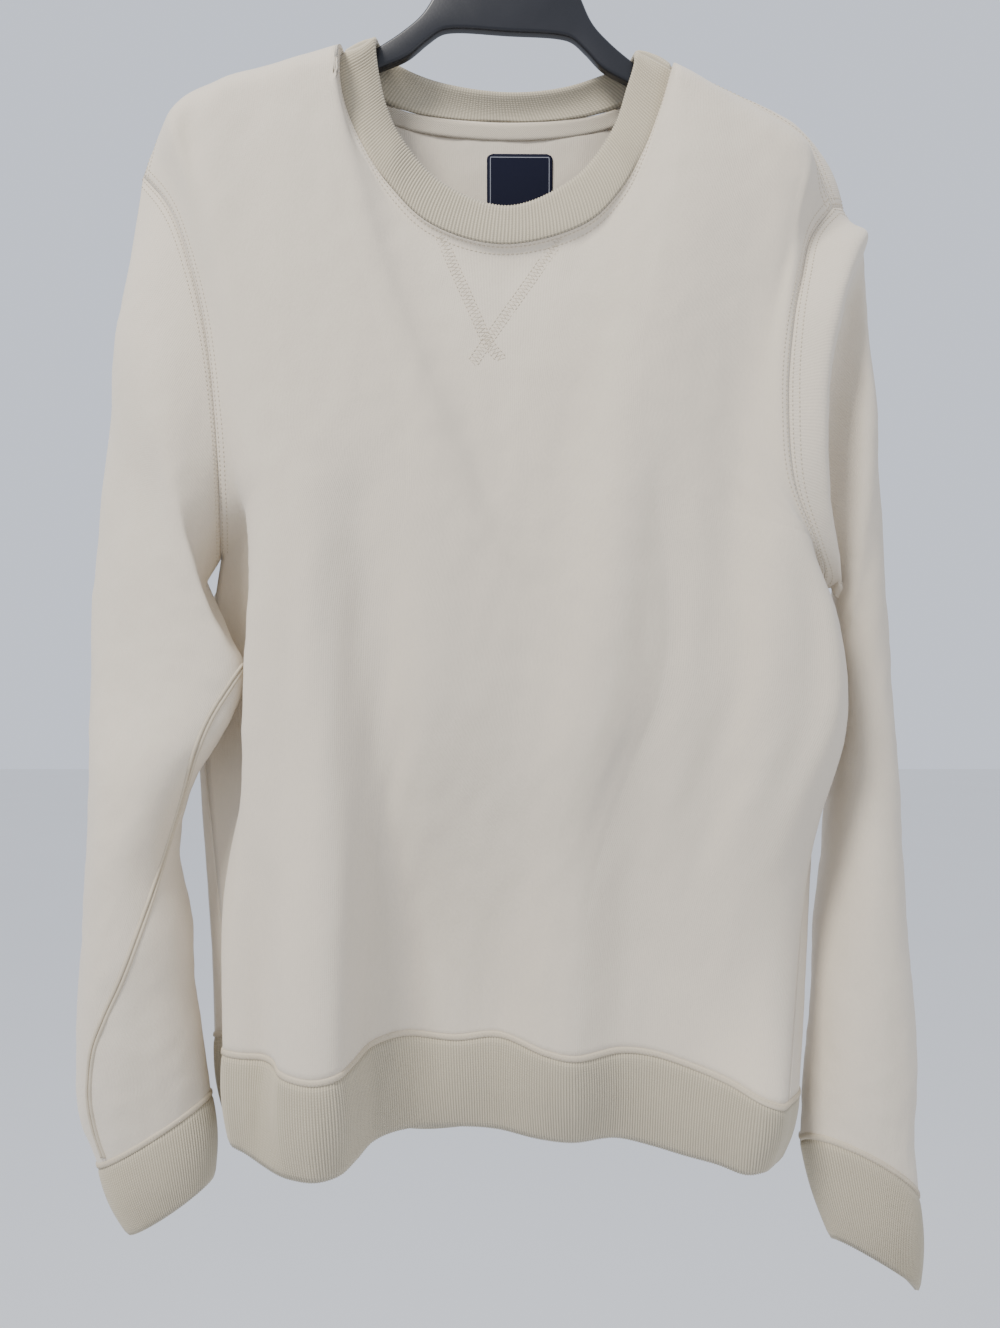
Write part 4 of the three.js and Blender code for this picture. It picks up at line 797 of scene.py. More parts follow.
    @staticmethod
    def pinned(grid: Points, zones: Zones, left: Points, right: Points) -> Points:
        """Makes a panel's side columns lie on the shared seams."""
        count = int(zones.left * PINNED_SHARE)
        hold = (1 - smoothstep(np.arange(count), 0, count))[None, :, None]
        shift_left = (left - grid[:, 0])[:, None, :]
        shift_right = (right - grid[:, -1])[:, None, :]
        grid[:, :count] += shift_left * hold
        grid[:, -count:] += shift_right * hold[:, ::-1]
        return grid


@dataclass
class Sleeve:
    """One sleeve, from its armhole ring to its cuff seam."""

    front_seam: Points
    back_seam: Points
    stations: Table
    facing: float
    grid: Points = field(init=False)
    normals: Points = field(init=False)

    def __post_init__(self) -> None:
        """Sweeps the sleeve's rings."""
        ring = np.concatenate([self.front_seam[SIDE_ROWS:], self.back_seam[ROWS - 1:SIDE_ROWS:-1]])
        stops = [
            ring_points(dict(zip(self.stations.names, row)), len(ring))
            for row in self.stations.rows
        ]
        lines = np.stack([ring, *stops], axis=1)
        self.grid = spline(lines, np.linspace(0, 1, SLEEVE_ROWS + 1)).transpose(1, 0, 2)
        self.normals = grid_normals(self.grid, True, self.facing)


def ring_points(station: dict[str, float], count: int) -> Points:
    """Points of a sleeve ring: the first is the underarm seam, half way round is the outer edge."""
    share = np.arange(count) / count
    half = np.where(share <= 0.5, share * 2, 2 - share * 2)
    spread = np.pi * (1 - (1 - half) ** ROW_CROWDING)
    angle = np.where(share <= 0.5, spread, 2 * np.pi - spread) + math.radians(station["turn"])
    along, side = np.cos(angle), np.sin(angle)
    is_front = side > 0
    bow = station["bow"] * side**2 * np.where(is_front, 1, BACK_BOW)
    depth = np.where(is_front, -station["front"], station["back"]) * np.abs(side)
    return np.column_stack([
        station["x"] + station["inX"] * along + bow,
        station["y"] + station["inY"] * along + depth,
        station["z"] + station["inZ"] * along + np.where(is_front, station["rise"] * side, 0),
    ])


@dataclass(frozen=True)
class RibKnit:
    """How a ribbed band is knitted, in mm."""

    pitch: float
    relief: float
    thickness: float
    swell: float
    rows: int = 14
    steps: int = 4


HEM_KNIT = RibKnit(pitch=1.75, relief=0.85, thickness=RIB_KNIT, swell=BAND_SWELL)
CUFF_KNIT = RibKnit(pitch=1.75, relief=0.85, thickness=RIB_KNIT, swell=BAND_SWELL)
COLLAR_KNITTING = RibKnit(pitch=2.3, relief=0.95, thickness=COLLAR_KNIT, swell=COLLAR_CROWN, rows=12)
FEWEST_RIBS = 8
RIB_RISE = 0.08
RIB_FLOOR = 0.15
LIP_EASE = 0.3


@dataclass
class RibBand:
    """A ribbed band that grows from a seam ring to its free edge."""

    name: str
    seam: Points
    seam_normals: Points
    end: Points
    knit: RibKnit
    outer: Points = field(init=False)
    normals: Points = field(init=False)
    spots: Points = field(init=False)

    def build(self) -> bpy.types.Object:
        """Builds the band, with its ribs raised on the outer face over a plain inner one."""
        closed = [np.concatenate([ring, ring[:1]]) for ring in (self.seam, self.seam_normals, self.end)]
        along = reach(closed[0])
        ribs = max(round(along[-1] / self.knit.pitch), FEWEST_RIBS)
        columns = ribs * self.knit.steps
        self.spots = np.interp(
            np.arange(columns) * along[-1] / columns, along, np.arange(len(along)),
        )
        seam, seam_normals, end = (
            np.column_stack([np.interp(self.spots, np.arange(len(ring)), ring[:, k]) for k in range(3)])
            for ring in closed
        )
        seam_normals = unit(seam_normals)
        shares = np.linspace(0, 1, self.knit.rows + 1)
        rings = np.array([
            lerp(seam, end, share) + seam_normals * self.knit.swell * math.sin(math.pi * share)
            for share in shares
        ])
        rings[0] += unit(rings[1] - rings[0]) * SEAM_GAP
        normals = grid_normals(rings, True, 1)
        normals = self.softened(normals)
        if np.sum(normals[0] * seam_normals) < 0:
            normals = -normals
        normals[0] = seam_normals
        rib = (1 - np.cos(np.arange(columns) * 2 * np.pi / self.knit.steps)) / 2
        strength = np.clip(shares / RIB_RISE, RIB_FLOOR, 1)[:, None]
        relief = (rib[None, :] * strength * self.knit.relief)[..., None]
        outer = rings + normals * relief
        inner = rings - normals * self.knit.thickness
        lip = normals[-1] * self.knit.thickness * LIP_EASE
        outer[-1] -= lip
        inner[-1] += lip
        self.outer, self.normals = rings, normals
        number = np.arange(columns) / self.knit.steps
        length = np.linalg.norm(end - seam, axis=1).mean() * MM
        uv = np.stack(np.meshgrid(number, shares * length), axis=2)
        return Wall.piece(self.name, outer, inner, uv, True)

    @staticmethod
    def softened(normals: Points) -> Points:
        """Evens out normals round a band, so that its ribs stand straight."""
        for _ in range(3):
            normals = normals + np.roll(normals, 2, axis=1) + np.roll(normals, -2, axis=1)
            normals /= np.linalg.norm(normals, axis=2, keepdims=True)
        return normals


@dataclass(frozen=True)
class Stitch:
    """How one kind of sewn line looks, in mm.

    Attributes:
        pitch: Distance from stitch to stitch.
        length: How long each is.
        width: How thick the thread is.
        slant: How far each turns from the line, by turns to each side, in radians.
    """

    pitch: float
    length: float
    width: float
    slant: float = 0.0


COVER_STITCH = Stitch(2.9, 2.2, 0.8)
ZIGZAG = Stitch(1.15, 3.2, 0.42, 1.15)
V_FILLING = Stitch(1.3, 6.2, 0.42, 1.2)


class Thread:
    """Sewn lines: rows of short stitches that stand on the cloth, as one mesh."""

    def __init__(self) -> None:
        """Makes the shape of one stitch."""
        self.mesh = bmesh.new()
        bead = bmesh.new()
        bmesh.ops.create_icosphere(bead, subdivisions=1, radius=0.5)
        self.points = [vert.co.copy() for vert in bead.verts]
        self.faces = [[vert.index for vert in face.verts] for face in bead.faces]
        bead.free()

    def run(self, line: Points, normals: Points, stitch: Stitch) -> None:
        """Adds one row of stitches.

        Args:
            line: Where they run, in mm.
            normals: Directions out of the cloth along the line.
            stitch: How they look.
        """
        along = reach(line)
        for i in range(int(along[-1] / stitch.pitch)):
            spots = (i + 0.5) * stitch.pitch + np.array([0, 0.5])
            places = np.stack([np.interp(spots, along, line[:, k]) for k in range(3)], axis=1)
            up = Vector([np.interp(spots[0], along, normals[:, k]) for k in range(3)]).normalized()
            ahead = Vector(places[1] - places[0]).normalized()
            turn = stitch.slant if i % 2 else -stitch.slant
            run = ahead * math.cos(turn) + up.cross(ahead) * math.sin(turn)
            frame = Matrix((run, up.cross(run), up)).transposed()
            frame = frame @ Matrix.Diagonal((stitch.length, stitch.width, stitch.width))
            self.bead(Vector(places[0]), frame)

    def bead(self, place: Vector, frame: Matrix) -> None:
        """Adds one stitch at a place in mm."""
        verts = [self.mesh.verts.new((place + frame @ point) * MM) for point in self.points]
        for corners in self.faces:
            self.mesh.faces.new([verts[corner] for corner in corners])

    def piece(self, name: str) -> bpy.types.Object:
        """Makes the stitches of one seam a piece."""
        return Wall.finish(name, self.mesh)


def cover_band(
    name: str, lines: tuple[Points, Points], normals: Points, height: float, closed: bool,
) -> bpy.types.Object:
    """Builds the rolled band of thread that covers a seam.

    Args:
        name: The piece's name.
        lines: The band's two edges on the cloth, in mm.
        normals: Directions out of the cloth along it.
        height: How far its middle stands out.
        closed: Whether the seam runs all round.

    Returns:
        The band's object.
    """
    outer, inner = [], []
    for share in np.linspace(-1, 1, COVER_STEPS):
        crown = height * math.sqrt(1 - share**2) + COVER_EDGE
        middle = lerp(lines[0], lines[1], (share + 1) / 2)
        outer.append(middle + normals * crown)
        inner.append(middle - normals * COVER_DEPTH)
    outer, inner = np.array(outer), np.array(inner)
    return Wall.piece(name, outer, inner, flat_uv(outer), closed)


@dataclass(frozen=True)
class Swell:
    """Smooth dents and bumps in a cloth.

    Attributes:
        stretch: How dense they are along x, y and z.
        size: How wide they are, in mm.
        seed: Which dents they are.
        height: How far they go in or out, in mm.
    """

    stretch: tuple[float, float, float]
    size: float
    seed: float
    height: float

    def over(self, grid: Points) -> Points:
        """How far they move each point of a grid."""
        return wander(grid * np.array(self.stretch), self.size, self.seed) * self.height


@dataclass(frozen=True)
class Life:
    """What makes a cloth lively: wide swells, small dents and gathers at its rib.

    Attributes:
        swell: The wide swells.
        dent: The small dents.
        gathers: The gathers beside the rib.
        gather_fade: How fast the gathers end, away from the rib.
    """

    swell: Swell
    dent: Swell
    gathers: Swell
    gather_fade: float

    def over(self, grid: Points, edge: Points, from_rib: Points) -> Points:
        """How far a cloth's points move, in mm.

        Args:
            grid: The cloth's points.
            edge: 1 inside the cloth, and less towards the edges that stay.
            from_rib: Share of the way from the rib to the far end.

        Returns:
            One distance for each point, outwards.
        """
        fade = np.exp(-((from_rib * self.gather_fade) ** GATHER_SHAPE))
        near_rib = fade * (1 - np.exp(-from_rib * GATHER_START))
        return (self.swell.over(grid) + self.dent.over(grid)) * edge + self.gathers.over(grid) * near_rib


PANEL_LIFE = Life(
    swell=Swell((1, 0.2, 0.3), 42, 3.1, 2.2),
    dent=Swell((1, 0.2, 0.8), 12, 8.7, 0.6),
    gathers=Swell((1, 0, 0.12), 5.5, 1.3, 0.9),
    gather_fade=20,
)
SLEEVE_LIFE = Life(
    swell=Swell((1, 0.7, 0.5), 24, 5.2, 1.6),
    dent=Swell((1, 0.8, 0.9), 10, 2.2, 0.6),
    gathers=Swell((1, 1, 0.12), 5.5, 6.3, 0.8),
    gather_fade=26,
)
GATHER_SHAPE = 1.3
GATHER_START = 260
EDGE_ROWS_FADE = 14
EDGE_COLUMNS_FADE = 12


def edge_share(share: Points, fade: float) -> Points:
    """Rises from 0 at both ends of a span to 1 inside it."""
    return np.minimum(np.minimum(share, 1 - share) * fade, 1)


@dataclass
class Garment:
    """The sweatshirt: its panels, sleeves, ribs and trims."""

    body: Body = field(default_factory=Body)
    left: Sleeve = field(init=False)
    right: Sleeve = field(init=False)
    pieces: dict[str, bpy.types.Object] = field(default_factory=dict)
    faces: dict[str, tuple[Points, Points]] = field(default_factory=dict)

    def __post_init__(self) -> None:
        """Sweeps the sleeves from the body's armholes and joins the directions at the seams."""
        body = self.body
        self.left = Sleeve(body.left_front, body.left_back, LEFT_SLEEVE, 1)
        self.right = Sleeve(body.right_front, body.right_back, RIGHT_SLEEVE, -1)
        for sleeve, column in ((self.left, 0), (self.right, -1)):
            ring = sleeve.normals[0]
            share_normals(body.front_normals[SIDE_ROWS:, column], ring[:ARMHOLE_ROWS + 1])
            share_normals(
                body.back_normals[SIDE_ROWS + 1:ROWS, column], ring[:ARMHOLE_ROWS:-1],
            )

    def build(self) -> None:
        """Builds every cloth piece."""
        self.build_panels()
        self.build_sleeves()
        self.build_ribs()

    def build_panels(self) -> None:
        """Builds the front and the back as walls of fleece."""
        for name, grid, normals in (
            ("front", self.body.front, self.body.front_normals),
            ("back", self.body.back, self.body.back_normals),
        ):
            lively = grid + normals * self.panel_life(grid)[..., None]
            self.faces[name] = (lively, normals)
            inner = lively - normals * FLEECE
            self.pieces[name] = Wall.piece(
                f"{name}_panel", self.trimmed(lively), self.trimmed(inner), flat_uv(grid), False,
            )

    @staticmethod
    def trimmed(grid: Points) -> Points:
        """Pulls a panel's edges back by half a seam's gap."""
        grid = grid.copy()
        for edge, beside in (
            (grid[0], grid[1]), (grid[-1], grid[-2]), (grid[:, 0], grid[:, 1]), (grid[:, -1], grid[:, -2]),
        ):
            away = beside - edge
            edge += unit(away) * SEAM_GAP / 2
        return grid

    @staticmethod
    def panel_life(grid: Points) -> Points:
        """How far soft dents and gathers move a panel's points, in mm."""
        rows, columns = grid.shape[:2]
        row = np.arange(rows)[:, None] / (rows - 1)
        column = np.arange(columns)[None, :] / (columns - 1)
        edge = edge_share(row, EDGE_ROWS_FADE) * edge_share(column, EDGE_COLUMNS_FADE)
        return PANEL_LIFE.over(grid, edge, row)

    def build_sleeves(self) -> None:
        """Builds both sleeves."""
        for name, sleeve in (("sleeve_left", self.left), ("sleeve_right", self.right)):
            grid, normals = sleeve.grid, sleeve.normals
            rows = grid.shape[0]
            row = np.arange(rows)[:, None] / (rows - 1)
            life = SLEEVE_LIFE.over(grid, edge_share(row, EDGE_ROWS_FADE), 1 - row)
            lively = grid + normals * life[..., None]
            self.faces[name] = (lively.copy(), normals)
            inner = lively - normals * FLEECE
            for wall in (lively, inner):
                for this, other in ((0, 1), (-1, -2)):
                    away = wall[other] - wall[this]
                    wall[this] += unit(away) * SEAM_GAP / 2
            self.pieces[name] = Wall.piece(f"{name}_tube", lively, inner, flat_uv(grid), True)

    def build_ribs(self) -> None:
        """Builds the hem rib, the cuffs and the collar."""
        body = self.body
        hem_ring = np.concatenate([body.front[0], body.back[0, -2:0:-1]])
        hem_normals = np.concatenate([body.front_normals[0], body.back_normals[0, -2:0:-1]])
        left_end, right_end = HEM_SIDE_ENDS.points()
        ends = [
            resample_row(
                curve(np.array([left_end, *table.points("endX endY endZ"), right_end]), ROW_STEPS), zones,
            )
            for table, zones in ((FRONT_HEM, FRONT_ZONES), (BACK_HEM, BACK_ZONES))
        ]
        hem_end = np.concatenate([ends[0], ends[1][-2:0:-1]])
        bands = [RibBand("hem_band", hem_ring, hem_normals, hem_end, HEM_KNIT)]
        for name, sleeve, end in (
            ("cuff_left_band", self.left, LEFT_CUFF_END), ("cuff_right_band", self.right, RIGHT_CUFF_END),
        ):
            ring = sleeve.grid[-1]
            bands.append(RibBand(name, ring, sleeve.normals[-1], ring_points(end, len(ring)), CUFF_KNIT))
        front_neck = slice(FRONT_ZONES.left, FRONT_ZONES.left + FRONT_ZONES.neck + 1)
        back_neck = slice(BACK_ZONES.left + BACK_ZONES.neck - 1, BACK_ZONES.left, -1)
        neck = np.concatenate([body.front[-1, front_neck], body.back[-1, back_neck]])
        neck_normals = np.concatenate([body.front_normals[-1, front_neck], body.back_normals[-1, back_neck]])
        edge = np.concatenate([
            crowded(curve(FRONT_COLLAR_EDGE.points(), NECK_STEPS), FRONT_ZONES.neck),
            crowded(curve(BACK_COLLAR_EDGE.points(), NECK_STEPS), BACK_ZONES.neck)[-2:0:-1],
        ])
        bands.append(RibBand("collar_band", neck, neck_normals, edge, COLLAR_KNITTING))
        for band, node in zip(bands, ("hem_rib", "cuff_left", "cuff_right", "collar")):
            self.pieces[node] = band.build()


class Surface:
    """One cloth piece's outer face, found by looking at it from the camera."""

    def __init__(self, grid: Points, closed: bool) -> None:
        """Keeps a grid of points in mm, whose last column may meet its first."""
        rows, columns = grid.shape[:2]
        faces = []
        for row in range(rows - 1):
            for column in range(columns if closed else columns - 1):
                a, b = row * columns + column, row * columns + (column + 1) % columns
                faces.append((a, b, b + columns, a + columns))
        self.tree = BVHTree.FromPolygons([Vector(place) for place in grid.reshape(-1, 3)], faces)

    def seen(self, spots: Points) -> tuple[Points, Points]:
        """Finds where the camera sees a line on the cloth.

        Args:
            spots: The line's x and z in mm, as it is seen on the plane through the hook.

        Returns:
            Its points on the cloth, and the directions out of the cloth there.
        """
        eye = Vector(Studio.eye) / MM
        line, outward = [], []
        for x, z in spots:
            way = Vector((x, 0, z)) - eye
            place, out, _, _ = self.tree.ray_cast(eye, way)
            if place is not None:
                line.append(place)
                outward.append(-out if out.dot(way) > 0 else out)
        return np.array(line), np.array(outward)


@dataclass
class Sewing:
    """What is sewn onto the garment: rolled covers and rows of stitches."""

    garment: Garment
    pieces: dict[str, bpy.types.Object] = field(default_factory=dict)

    def build(self) -> dict[str, bpy.types.Object]:
        """Builds every sewn line and returns the pieces by name."""
        self.covers()
        self.panel_seams()
        self.sleeve_seams()
        self.drawn_lines()
        return self.pieces

    def covers(self) -> None:
        """Covers the seams of the hem and the cuffs with a rolled band and fine slanted thread."""
        faces = self.garment.faces
        front, front_normals = faces["front"]
        back, back_normals = faces["back"]
        around = [(front, front_normals, slice(None)), (back, back_normals, slice(-2, 0, -1))]
        rings = {
            "hem": tuple(
                np.concatenate([cloth[layer][:HEM_ROWS, cloth[2]] for cloth in around], axis=1)
                for layer in (0, 1)
            ),
        }
        for side in ("left", "right"):
            grid, normals = faces[f"sleeve_{side}"]
            from_cuff = slice(None, -CUFF_ROWS - 1, -1)
            rings[f"cuff_{side}"] = (grid[from_cuff], normals[from_cuff])
        for name, (grid, normals) in rings.items():
            rows, outward = grid.transpose(1, 0, 2), normals.transpose(1, 0, 2)
            edge, out = beside_seam(rows, outward, COVER_WIDTH)
            seam = grid[0] * (1 + COVER_OVERLAP) - edge * COVER_OVERLAP
            self.pieces[f"{name}_cover"] = cover_band(f"{name}_cover", (seam, edge), out, COVER_HEIGHT, True)
            thread = Thread()
            middle = (seam + edge) / 2 + out * COVER_HEIGHT
            thread.run(np.concatenate([middle, middle[:1]]), np.concatenate([out, out[:1]]), ZIGZAG)
            self.pieces[f"{name}_thread"] = thread.piece(f"{name}_thread")

    def panel_seams(self) -> None:
        """Sews two rows of stitches beside the armholes, the shoulders and the neck of both panels."""
        for name, zones in (("front", FRONT_ZONES), ("back", BACK_ZONES)):
            grid, normals = self.garment.faces[name]
            thread = Thread()
            armhole = slice(SIDE_ROWS, None)
            down = slice(None, -TOP_ROWS - 1, -1)
            neck_end = zones.left + zones.neck
            views = [
                lambda cloth: cloth[armhole],
                lambda cloth: cloth[armhole, ::-1],
                lambda cloth: cloth[down, :zones.left].transpose(1, 0, 2),
                lambda cloth: cloth[down, zones.left:neck_end + 1].transpose(1, 0, 2),
                lambda cloth: cloth[down, neck_end + 1:].transpose(1, 0, 2),
            ]
            for view in views:
                for distance in TWIN_ROWS:
                    line, out = beside_seam(view(grid), view(normals), distance)
                    thread.run(line, out, COVER_STITCH)
            self.pieces[f"{name}_thread"] = thread.piece(f"{name}_thread")

    def sleeve_seams(self) -> None:
        """Sews two rows of stitches round the head of each sleeve."""
        for side in ("left", "right"):
            sleeve = self.garment.faces[f"sleeve_{side}"]
            grid, normals = (cloth[:HEAD_ROWS].transpose(1, 0, 2) for cloth in sleeve)
            thread = Thread()
            for distance in TWIN_ROWS:
                line, out = beside_seam(grid, normals, distance)
                thread.run(line, out, COVER_STITCH)
            self.pieces[f"armhole_{side}_thread"] = thread.piece(f"armhole_{side}_thread")

    def drawn_lines(self) -> None:
        """Sews the two arms of the V under the collar and the rolled seam under the left arm."""
        chest = Surface(self.garment.faces["front"][0], False)
        thread = Thread()
        for table in (V_LEFT_ARM, V_RIGHT_ARM):
            line, out = chest.seen(curve(table.points("x z"), V_STEPS))
            across = unit(np.cross(out, np.gradient(line, axis=0)))
            for share in V_ROWS:
                thread.run(line + across * share, out, COVER_STITCH)
            thread.run(line, out, V_FILLING)
        self.pieces["v_thread"] = thread.piece("v_thread")
        sleeve = Surface(self.garment.faces["sleeve_left"][0], True)
        line, out = sleeve.seen(curve(UNDERARM_SEAM.points("x z"), UNDERARM_STEPS))
        across = unit(np.cross(out, np.gradient(line, axis=0))) * ROLL_WIDTH / 2
        for name, shift in (("underarm_roll_a", -ROLL_SHIFT), ("underarm_roll_b", ROLL_SHIFT)):
            middle = line + across * 2 * shift
            self.pieces[name] = cover_band(name, (middle - across, middle + across), out, ROLL_HEIGHT, False)


class InsideBack:
    """Lays what is sewn inside the neck on the inner face of the back."""

    def __init__(self, grid: Points, normals: Points) -> None:
        """Keeps the inner face for measuring.

        Args:
            grid: The back's outer points in mm.
            normals: Directions out of the back at them.
        """
        inner = grid - normals * FLEECE
        rows, columns = inner.shape[:2]
        places = [Vector(place) for place in inner.reshape(-1, 3)]
        faces = [
            (r * columns + c, r * columns + c + 1, (r + 1) * columns + c + 1, (r + 1) * columns + c)
            for r in range(rows - 1) for c in range(columns - 1)
        ]
        self.tree = BVHTree.FromPolygons(places, faces)

    def spot(self, x: float, z: float) -> Points:
        """Returns the point of the inner face that shows at a place seen from the front."""
        hit = self.tree.ray_cast(Vector((x, SIGHT_DEPTH, z)), Vector((0, 1, 0)))[0]
        return np.array(hit if hit is not None else (x, MISSED_DEPTH, z))

    def patch(self, name: str, spots: Points, thickness: float, uv: Points) -> bpy.types.Object:
        """Builds a thin piece that lies on the inner face."""
        lift = np.array([0, -LAY_GAP, 0])
        far = spots + lift
        near = far + np.array([0, -thickness, 0])
        edge = np.minimum.reduce([
            np.minimum(uv[..., 0] - uv[..., 0].min(), uv[..., 0].max() - uv[..., 0]),
            np.minimum(uv[..., 1] - uv[..., 1].min(), uv[..., 1].max() - uv[..., 1]),
        ])
        near[..., 1] += np.clip(1 - edge / EDGE_ROUND, 0, 1) ** 2 * thickness * EDGE_DROP
        return Wall.piece(name, near, far, uv, False)


TAPE_WIDTH = 11
TAPE_THICK = 0.8
TAPE_DROP = 1.5
LAY_GAP = 0.4
EDGE_ROUND = 0.0012
EDGE_DROP = 0.7
TAPE_INSET = (7, 6)
TAPE_POINTS = 90
TAPE_ROWS = 9
LABEL_POINTS = 41
SIGHT_DEPTH = -60
MISSED_DEPTH = 20
LABEL_LEFT, LABEL_RIGHT = -14, 31
LABEL_TOP, LABEL_HEIGHT = -184, 44
LABEL_THICK = 0.7
LABEL_CORNER = 4


@dataclass
class NeckTrim:
    """The herringbone tape and the plain woven label inside the neck."""

    body: Body

    def build(self) -> dict[str, bpy.types.Object]:
        """Builds the tape and the label, by the names of their nodes."""
        inside = InsideBack(self.body.back, self.body.back_normals)
        return {"neck_tape": self.tape(inside), "label": self.label(inside)}

    def tape(self, inside: InsideBack) -> bpy.types.Object:
        """Lays the tape just below the back's neck seam."""
        zones = BACK_ZONES
        after, before = TAPE_INSET
        seam = self.body.back[-1, zones.left + after:zones.left + zones.neck - before]
        top = evenly(seam, TAPE_POINTS)
        rows = np.linspace(0, 1, TAPE_ROWS)
        spots = np.array([
            [inside.spot(x, z - TAPE_DROP - TAPE_WIDTH * down) for x, _, z in top] for down in rows
        ])
        along = reach(top) * MM
        uv = np.stack(np.meshgrid(along, rows * TAPE_WIDTH * MM), axis=2)
        return inside.patch("herringbone_tape", spots, TAPE_THICK, uv)

    def label(self, inside: InsideBack) -> bpy.types.Object:
        """Lays the label below the tape, with its top corners rounded."""
        across = down = np.linspace(0, 1, LABEL_POINTS)
        spots, uv = [], []
        width = LABEL_RIGHT - LABEL_LEFT
        for v in down:
            corner = max(LABEL_CORNER - v * LABEL_HEIGHT, 0)
            pull = LABEL_CORNER - math.sqrt(LABEL_CORNER**2 - corner**2)
            left, right = LABEL_LEFT + pull, LABEL_RIGHT - pull
            spots.append([inside.spot(lerp(left, right, u), LABEL_TOP - LABEL_HEIGHT * v) for u in across])
            uv.append([(u * width * MM, v * LABEL_HEIGHT * MM) for u in across])
        return inside.patch("woven_label", np.array(spots), LABEL_THICK, np.array(uv))


HANGER_LEAN = math.radians(3.4)
HANGER_MIDDLE_Z = -107
HANGER_HALF = 4
HOOK_WIRE = 1.9
HOOK_INSIDE = 20
HOOK_SEAT = 0.3
HOOK_ARC = (200, -75)
HOOK_STOPS = 13
HOOK_FOOT = (1, 0, -50)
HOOK_STEPS = 400
HOOK_RINGS = 120
HOOK_SIDES = 16
HANGER_STEPS = 120


@dataclass
class Hanger:
    """The moulded bar and the wire hook that carry the garment."""

    bevel: float = 2.2

    def build(self) -> dict[str, bpy.types.Object]:
        """Builds the bar and the hook, by the names of their nodes."""
        return {"hanger": self.bar(), "hook": self.hook()}

    def bar(self) -> bpy.types.Object:
        """Extrudes the bar's outline and rounds its edges."""
        half = curve(HANGER_OUTLINE.points("x z"), HANGER_STEPS)
        whole = np.concatenate([half, (half[1:-1] * np.array([-1, 1]))[::-1]])
        mesh = bmesh.new()
        verts = [mesh.verts.new((x * MM, -HANGER_HALF * MM, z * MM)) for x, z in whole]
        face = mesh.faces.new(verts)
        made = bmesh.ops.extrude_face_region(mesh, geom=[face])["geom"]
        moved = [item for item in made if isinstance(item, bmesh.types.BMVert)]
        bmesh.ops.translate(mesh, vec=(0, 2 * HANGER_HALF * MM, 0), verts=moved)
        bmesh.ops.recalc_face_normals(mesh, faces=mesh.faces)
        rims = [edge for edge in mesh.edges if any(len(item.verts) > 4 for item in edge.link_faces)]
        bmesh.ops.bevel(
            mesh, geom=rims, offset=self.bevel * MM, segments=4, profile=0.5, affect="EDGES", material=-1,
        )
        lean = (
            Matrix.Translation((0, 0, HANGER_MIDDLE_Z * MM)) @ Matrix.Rotation(HANGER_LEAN, 4, "Y")
            @ Matrix.Translation((0, 0, -HANGER_MIDDLE_Z * MM))
        )
        bmesh.ops.transform(mesh, matrix=lean, verts=mesh.verts)
        bmesh.ops.triangulate(mesh, faces=[item for item in mesh.faces if len(item.verts) > 4])
        return Wall.finish("hanger_bar", mesh)

    def hook(self) -> bpy.types.Object:
        """Sweeps the wire round the hook and down into the bar."""
        radius = HOOK_INSIDE + HOOK_WIRE
        angles = np.radians(np.linspace(*HOOK_ARC, HOOK_STOPS))
        arc = np.column_stack([
            radius * np.cos(angles), np.zeros(HOOK_STOPS), -HOOK_INSIDE + radius * np.sin(angles),
        ])
        foot = [HOOK_FOOT, (0, 0, HANGER_OUTLINE.rows[0][1] + HOOK_SEAT)]
        route = evenly(curve(np.concatenate([arc, foot]), HOOK_STEPS), HOOK_RINGS)
        around = np.linspace(0, 2 * np.pi, HOOK_SIDES + 1)[:-1]
        ahead = unit(np.gradient(route, axis=0))
        side = np.array([0.0, 1, 0])
        out = np.cross(ahead, side)
        mesh = bmesh.new()
        grid = route[:, None] + HOOK_WIRE * (
            out[:, None] * np.cos(around)[None, :, None] + side * np.sin(around)[None, :, None]
        )
        grid = np.concatenate([grid, grid[:, :1]], axis=1)
        uv = flat_uv(grid)
        made = Wall.sheet(mesh, grid, uv)
        columns = grid.shape[1]
        bmesh.ops.remove_doubles(mesh, verts=made[::columns] + made[columns - 1::columns], dist=WELD)
        bmesh.ops.holes_fill(mesh, edges=[edge for edge in mesh.edges if edge.is_boundary], sides=0)
        return Wall.finish("hook_wire", mesh)


class Signal:
    """A value in a material, on which Python's operators add Math nodes."""

    def __init__(self, shader: Shader, socket: bpy.types.NodeSocket) -> None:
        """Wraps a socket of a shader's node."""
        self.shader = shader
        self.socket = socket

    def math(self, operation: str, *others: Any) -> Signal:
        """Returns the result of a Math node on this value and others."""
        return self.shader.node("ShaderNodeMath", {"operation": operation}, dict(enumerate([self, *others])))

    def wave(self, pitch: float) -> Signal:
        """Returns a sine wave along this value, of a pitch in metres."""
        return (self * (2 * math.pi / pitch)).math("SINE")

    def __add__(self, other: Any) -> Signal:
        """Adds."""
        return self.math("ADD", other)

    __radd__ = __add__

    def __mul__(self, other: Any) -> Signal:
        """Multiplies."""
        return self.math("MULTIPLY", other)

    __rmul__ = __mul__

    def __sub__(self, other: Any) -> Signal:
        """Subtracts."""
        return self.math("SUBTRACT", other)

    def __rsub__(self, other: Any) -> Signal:
        """Subtracts this from another value."""
        return self * -1 + other

    def __truediv__(self, other: Any) -> Signal:
        """Divides."""
        return self.math("DIVIDE", other)


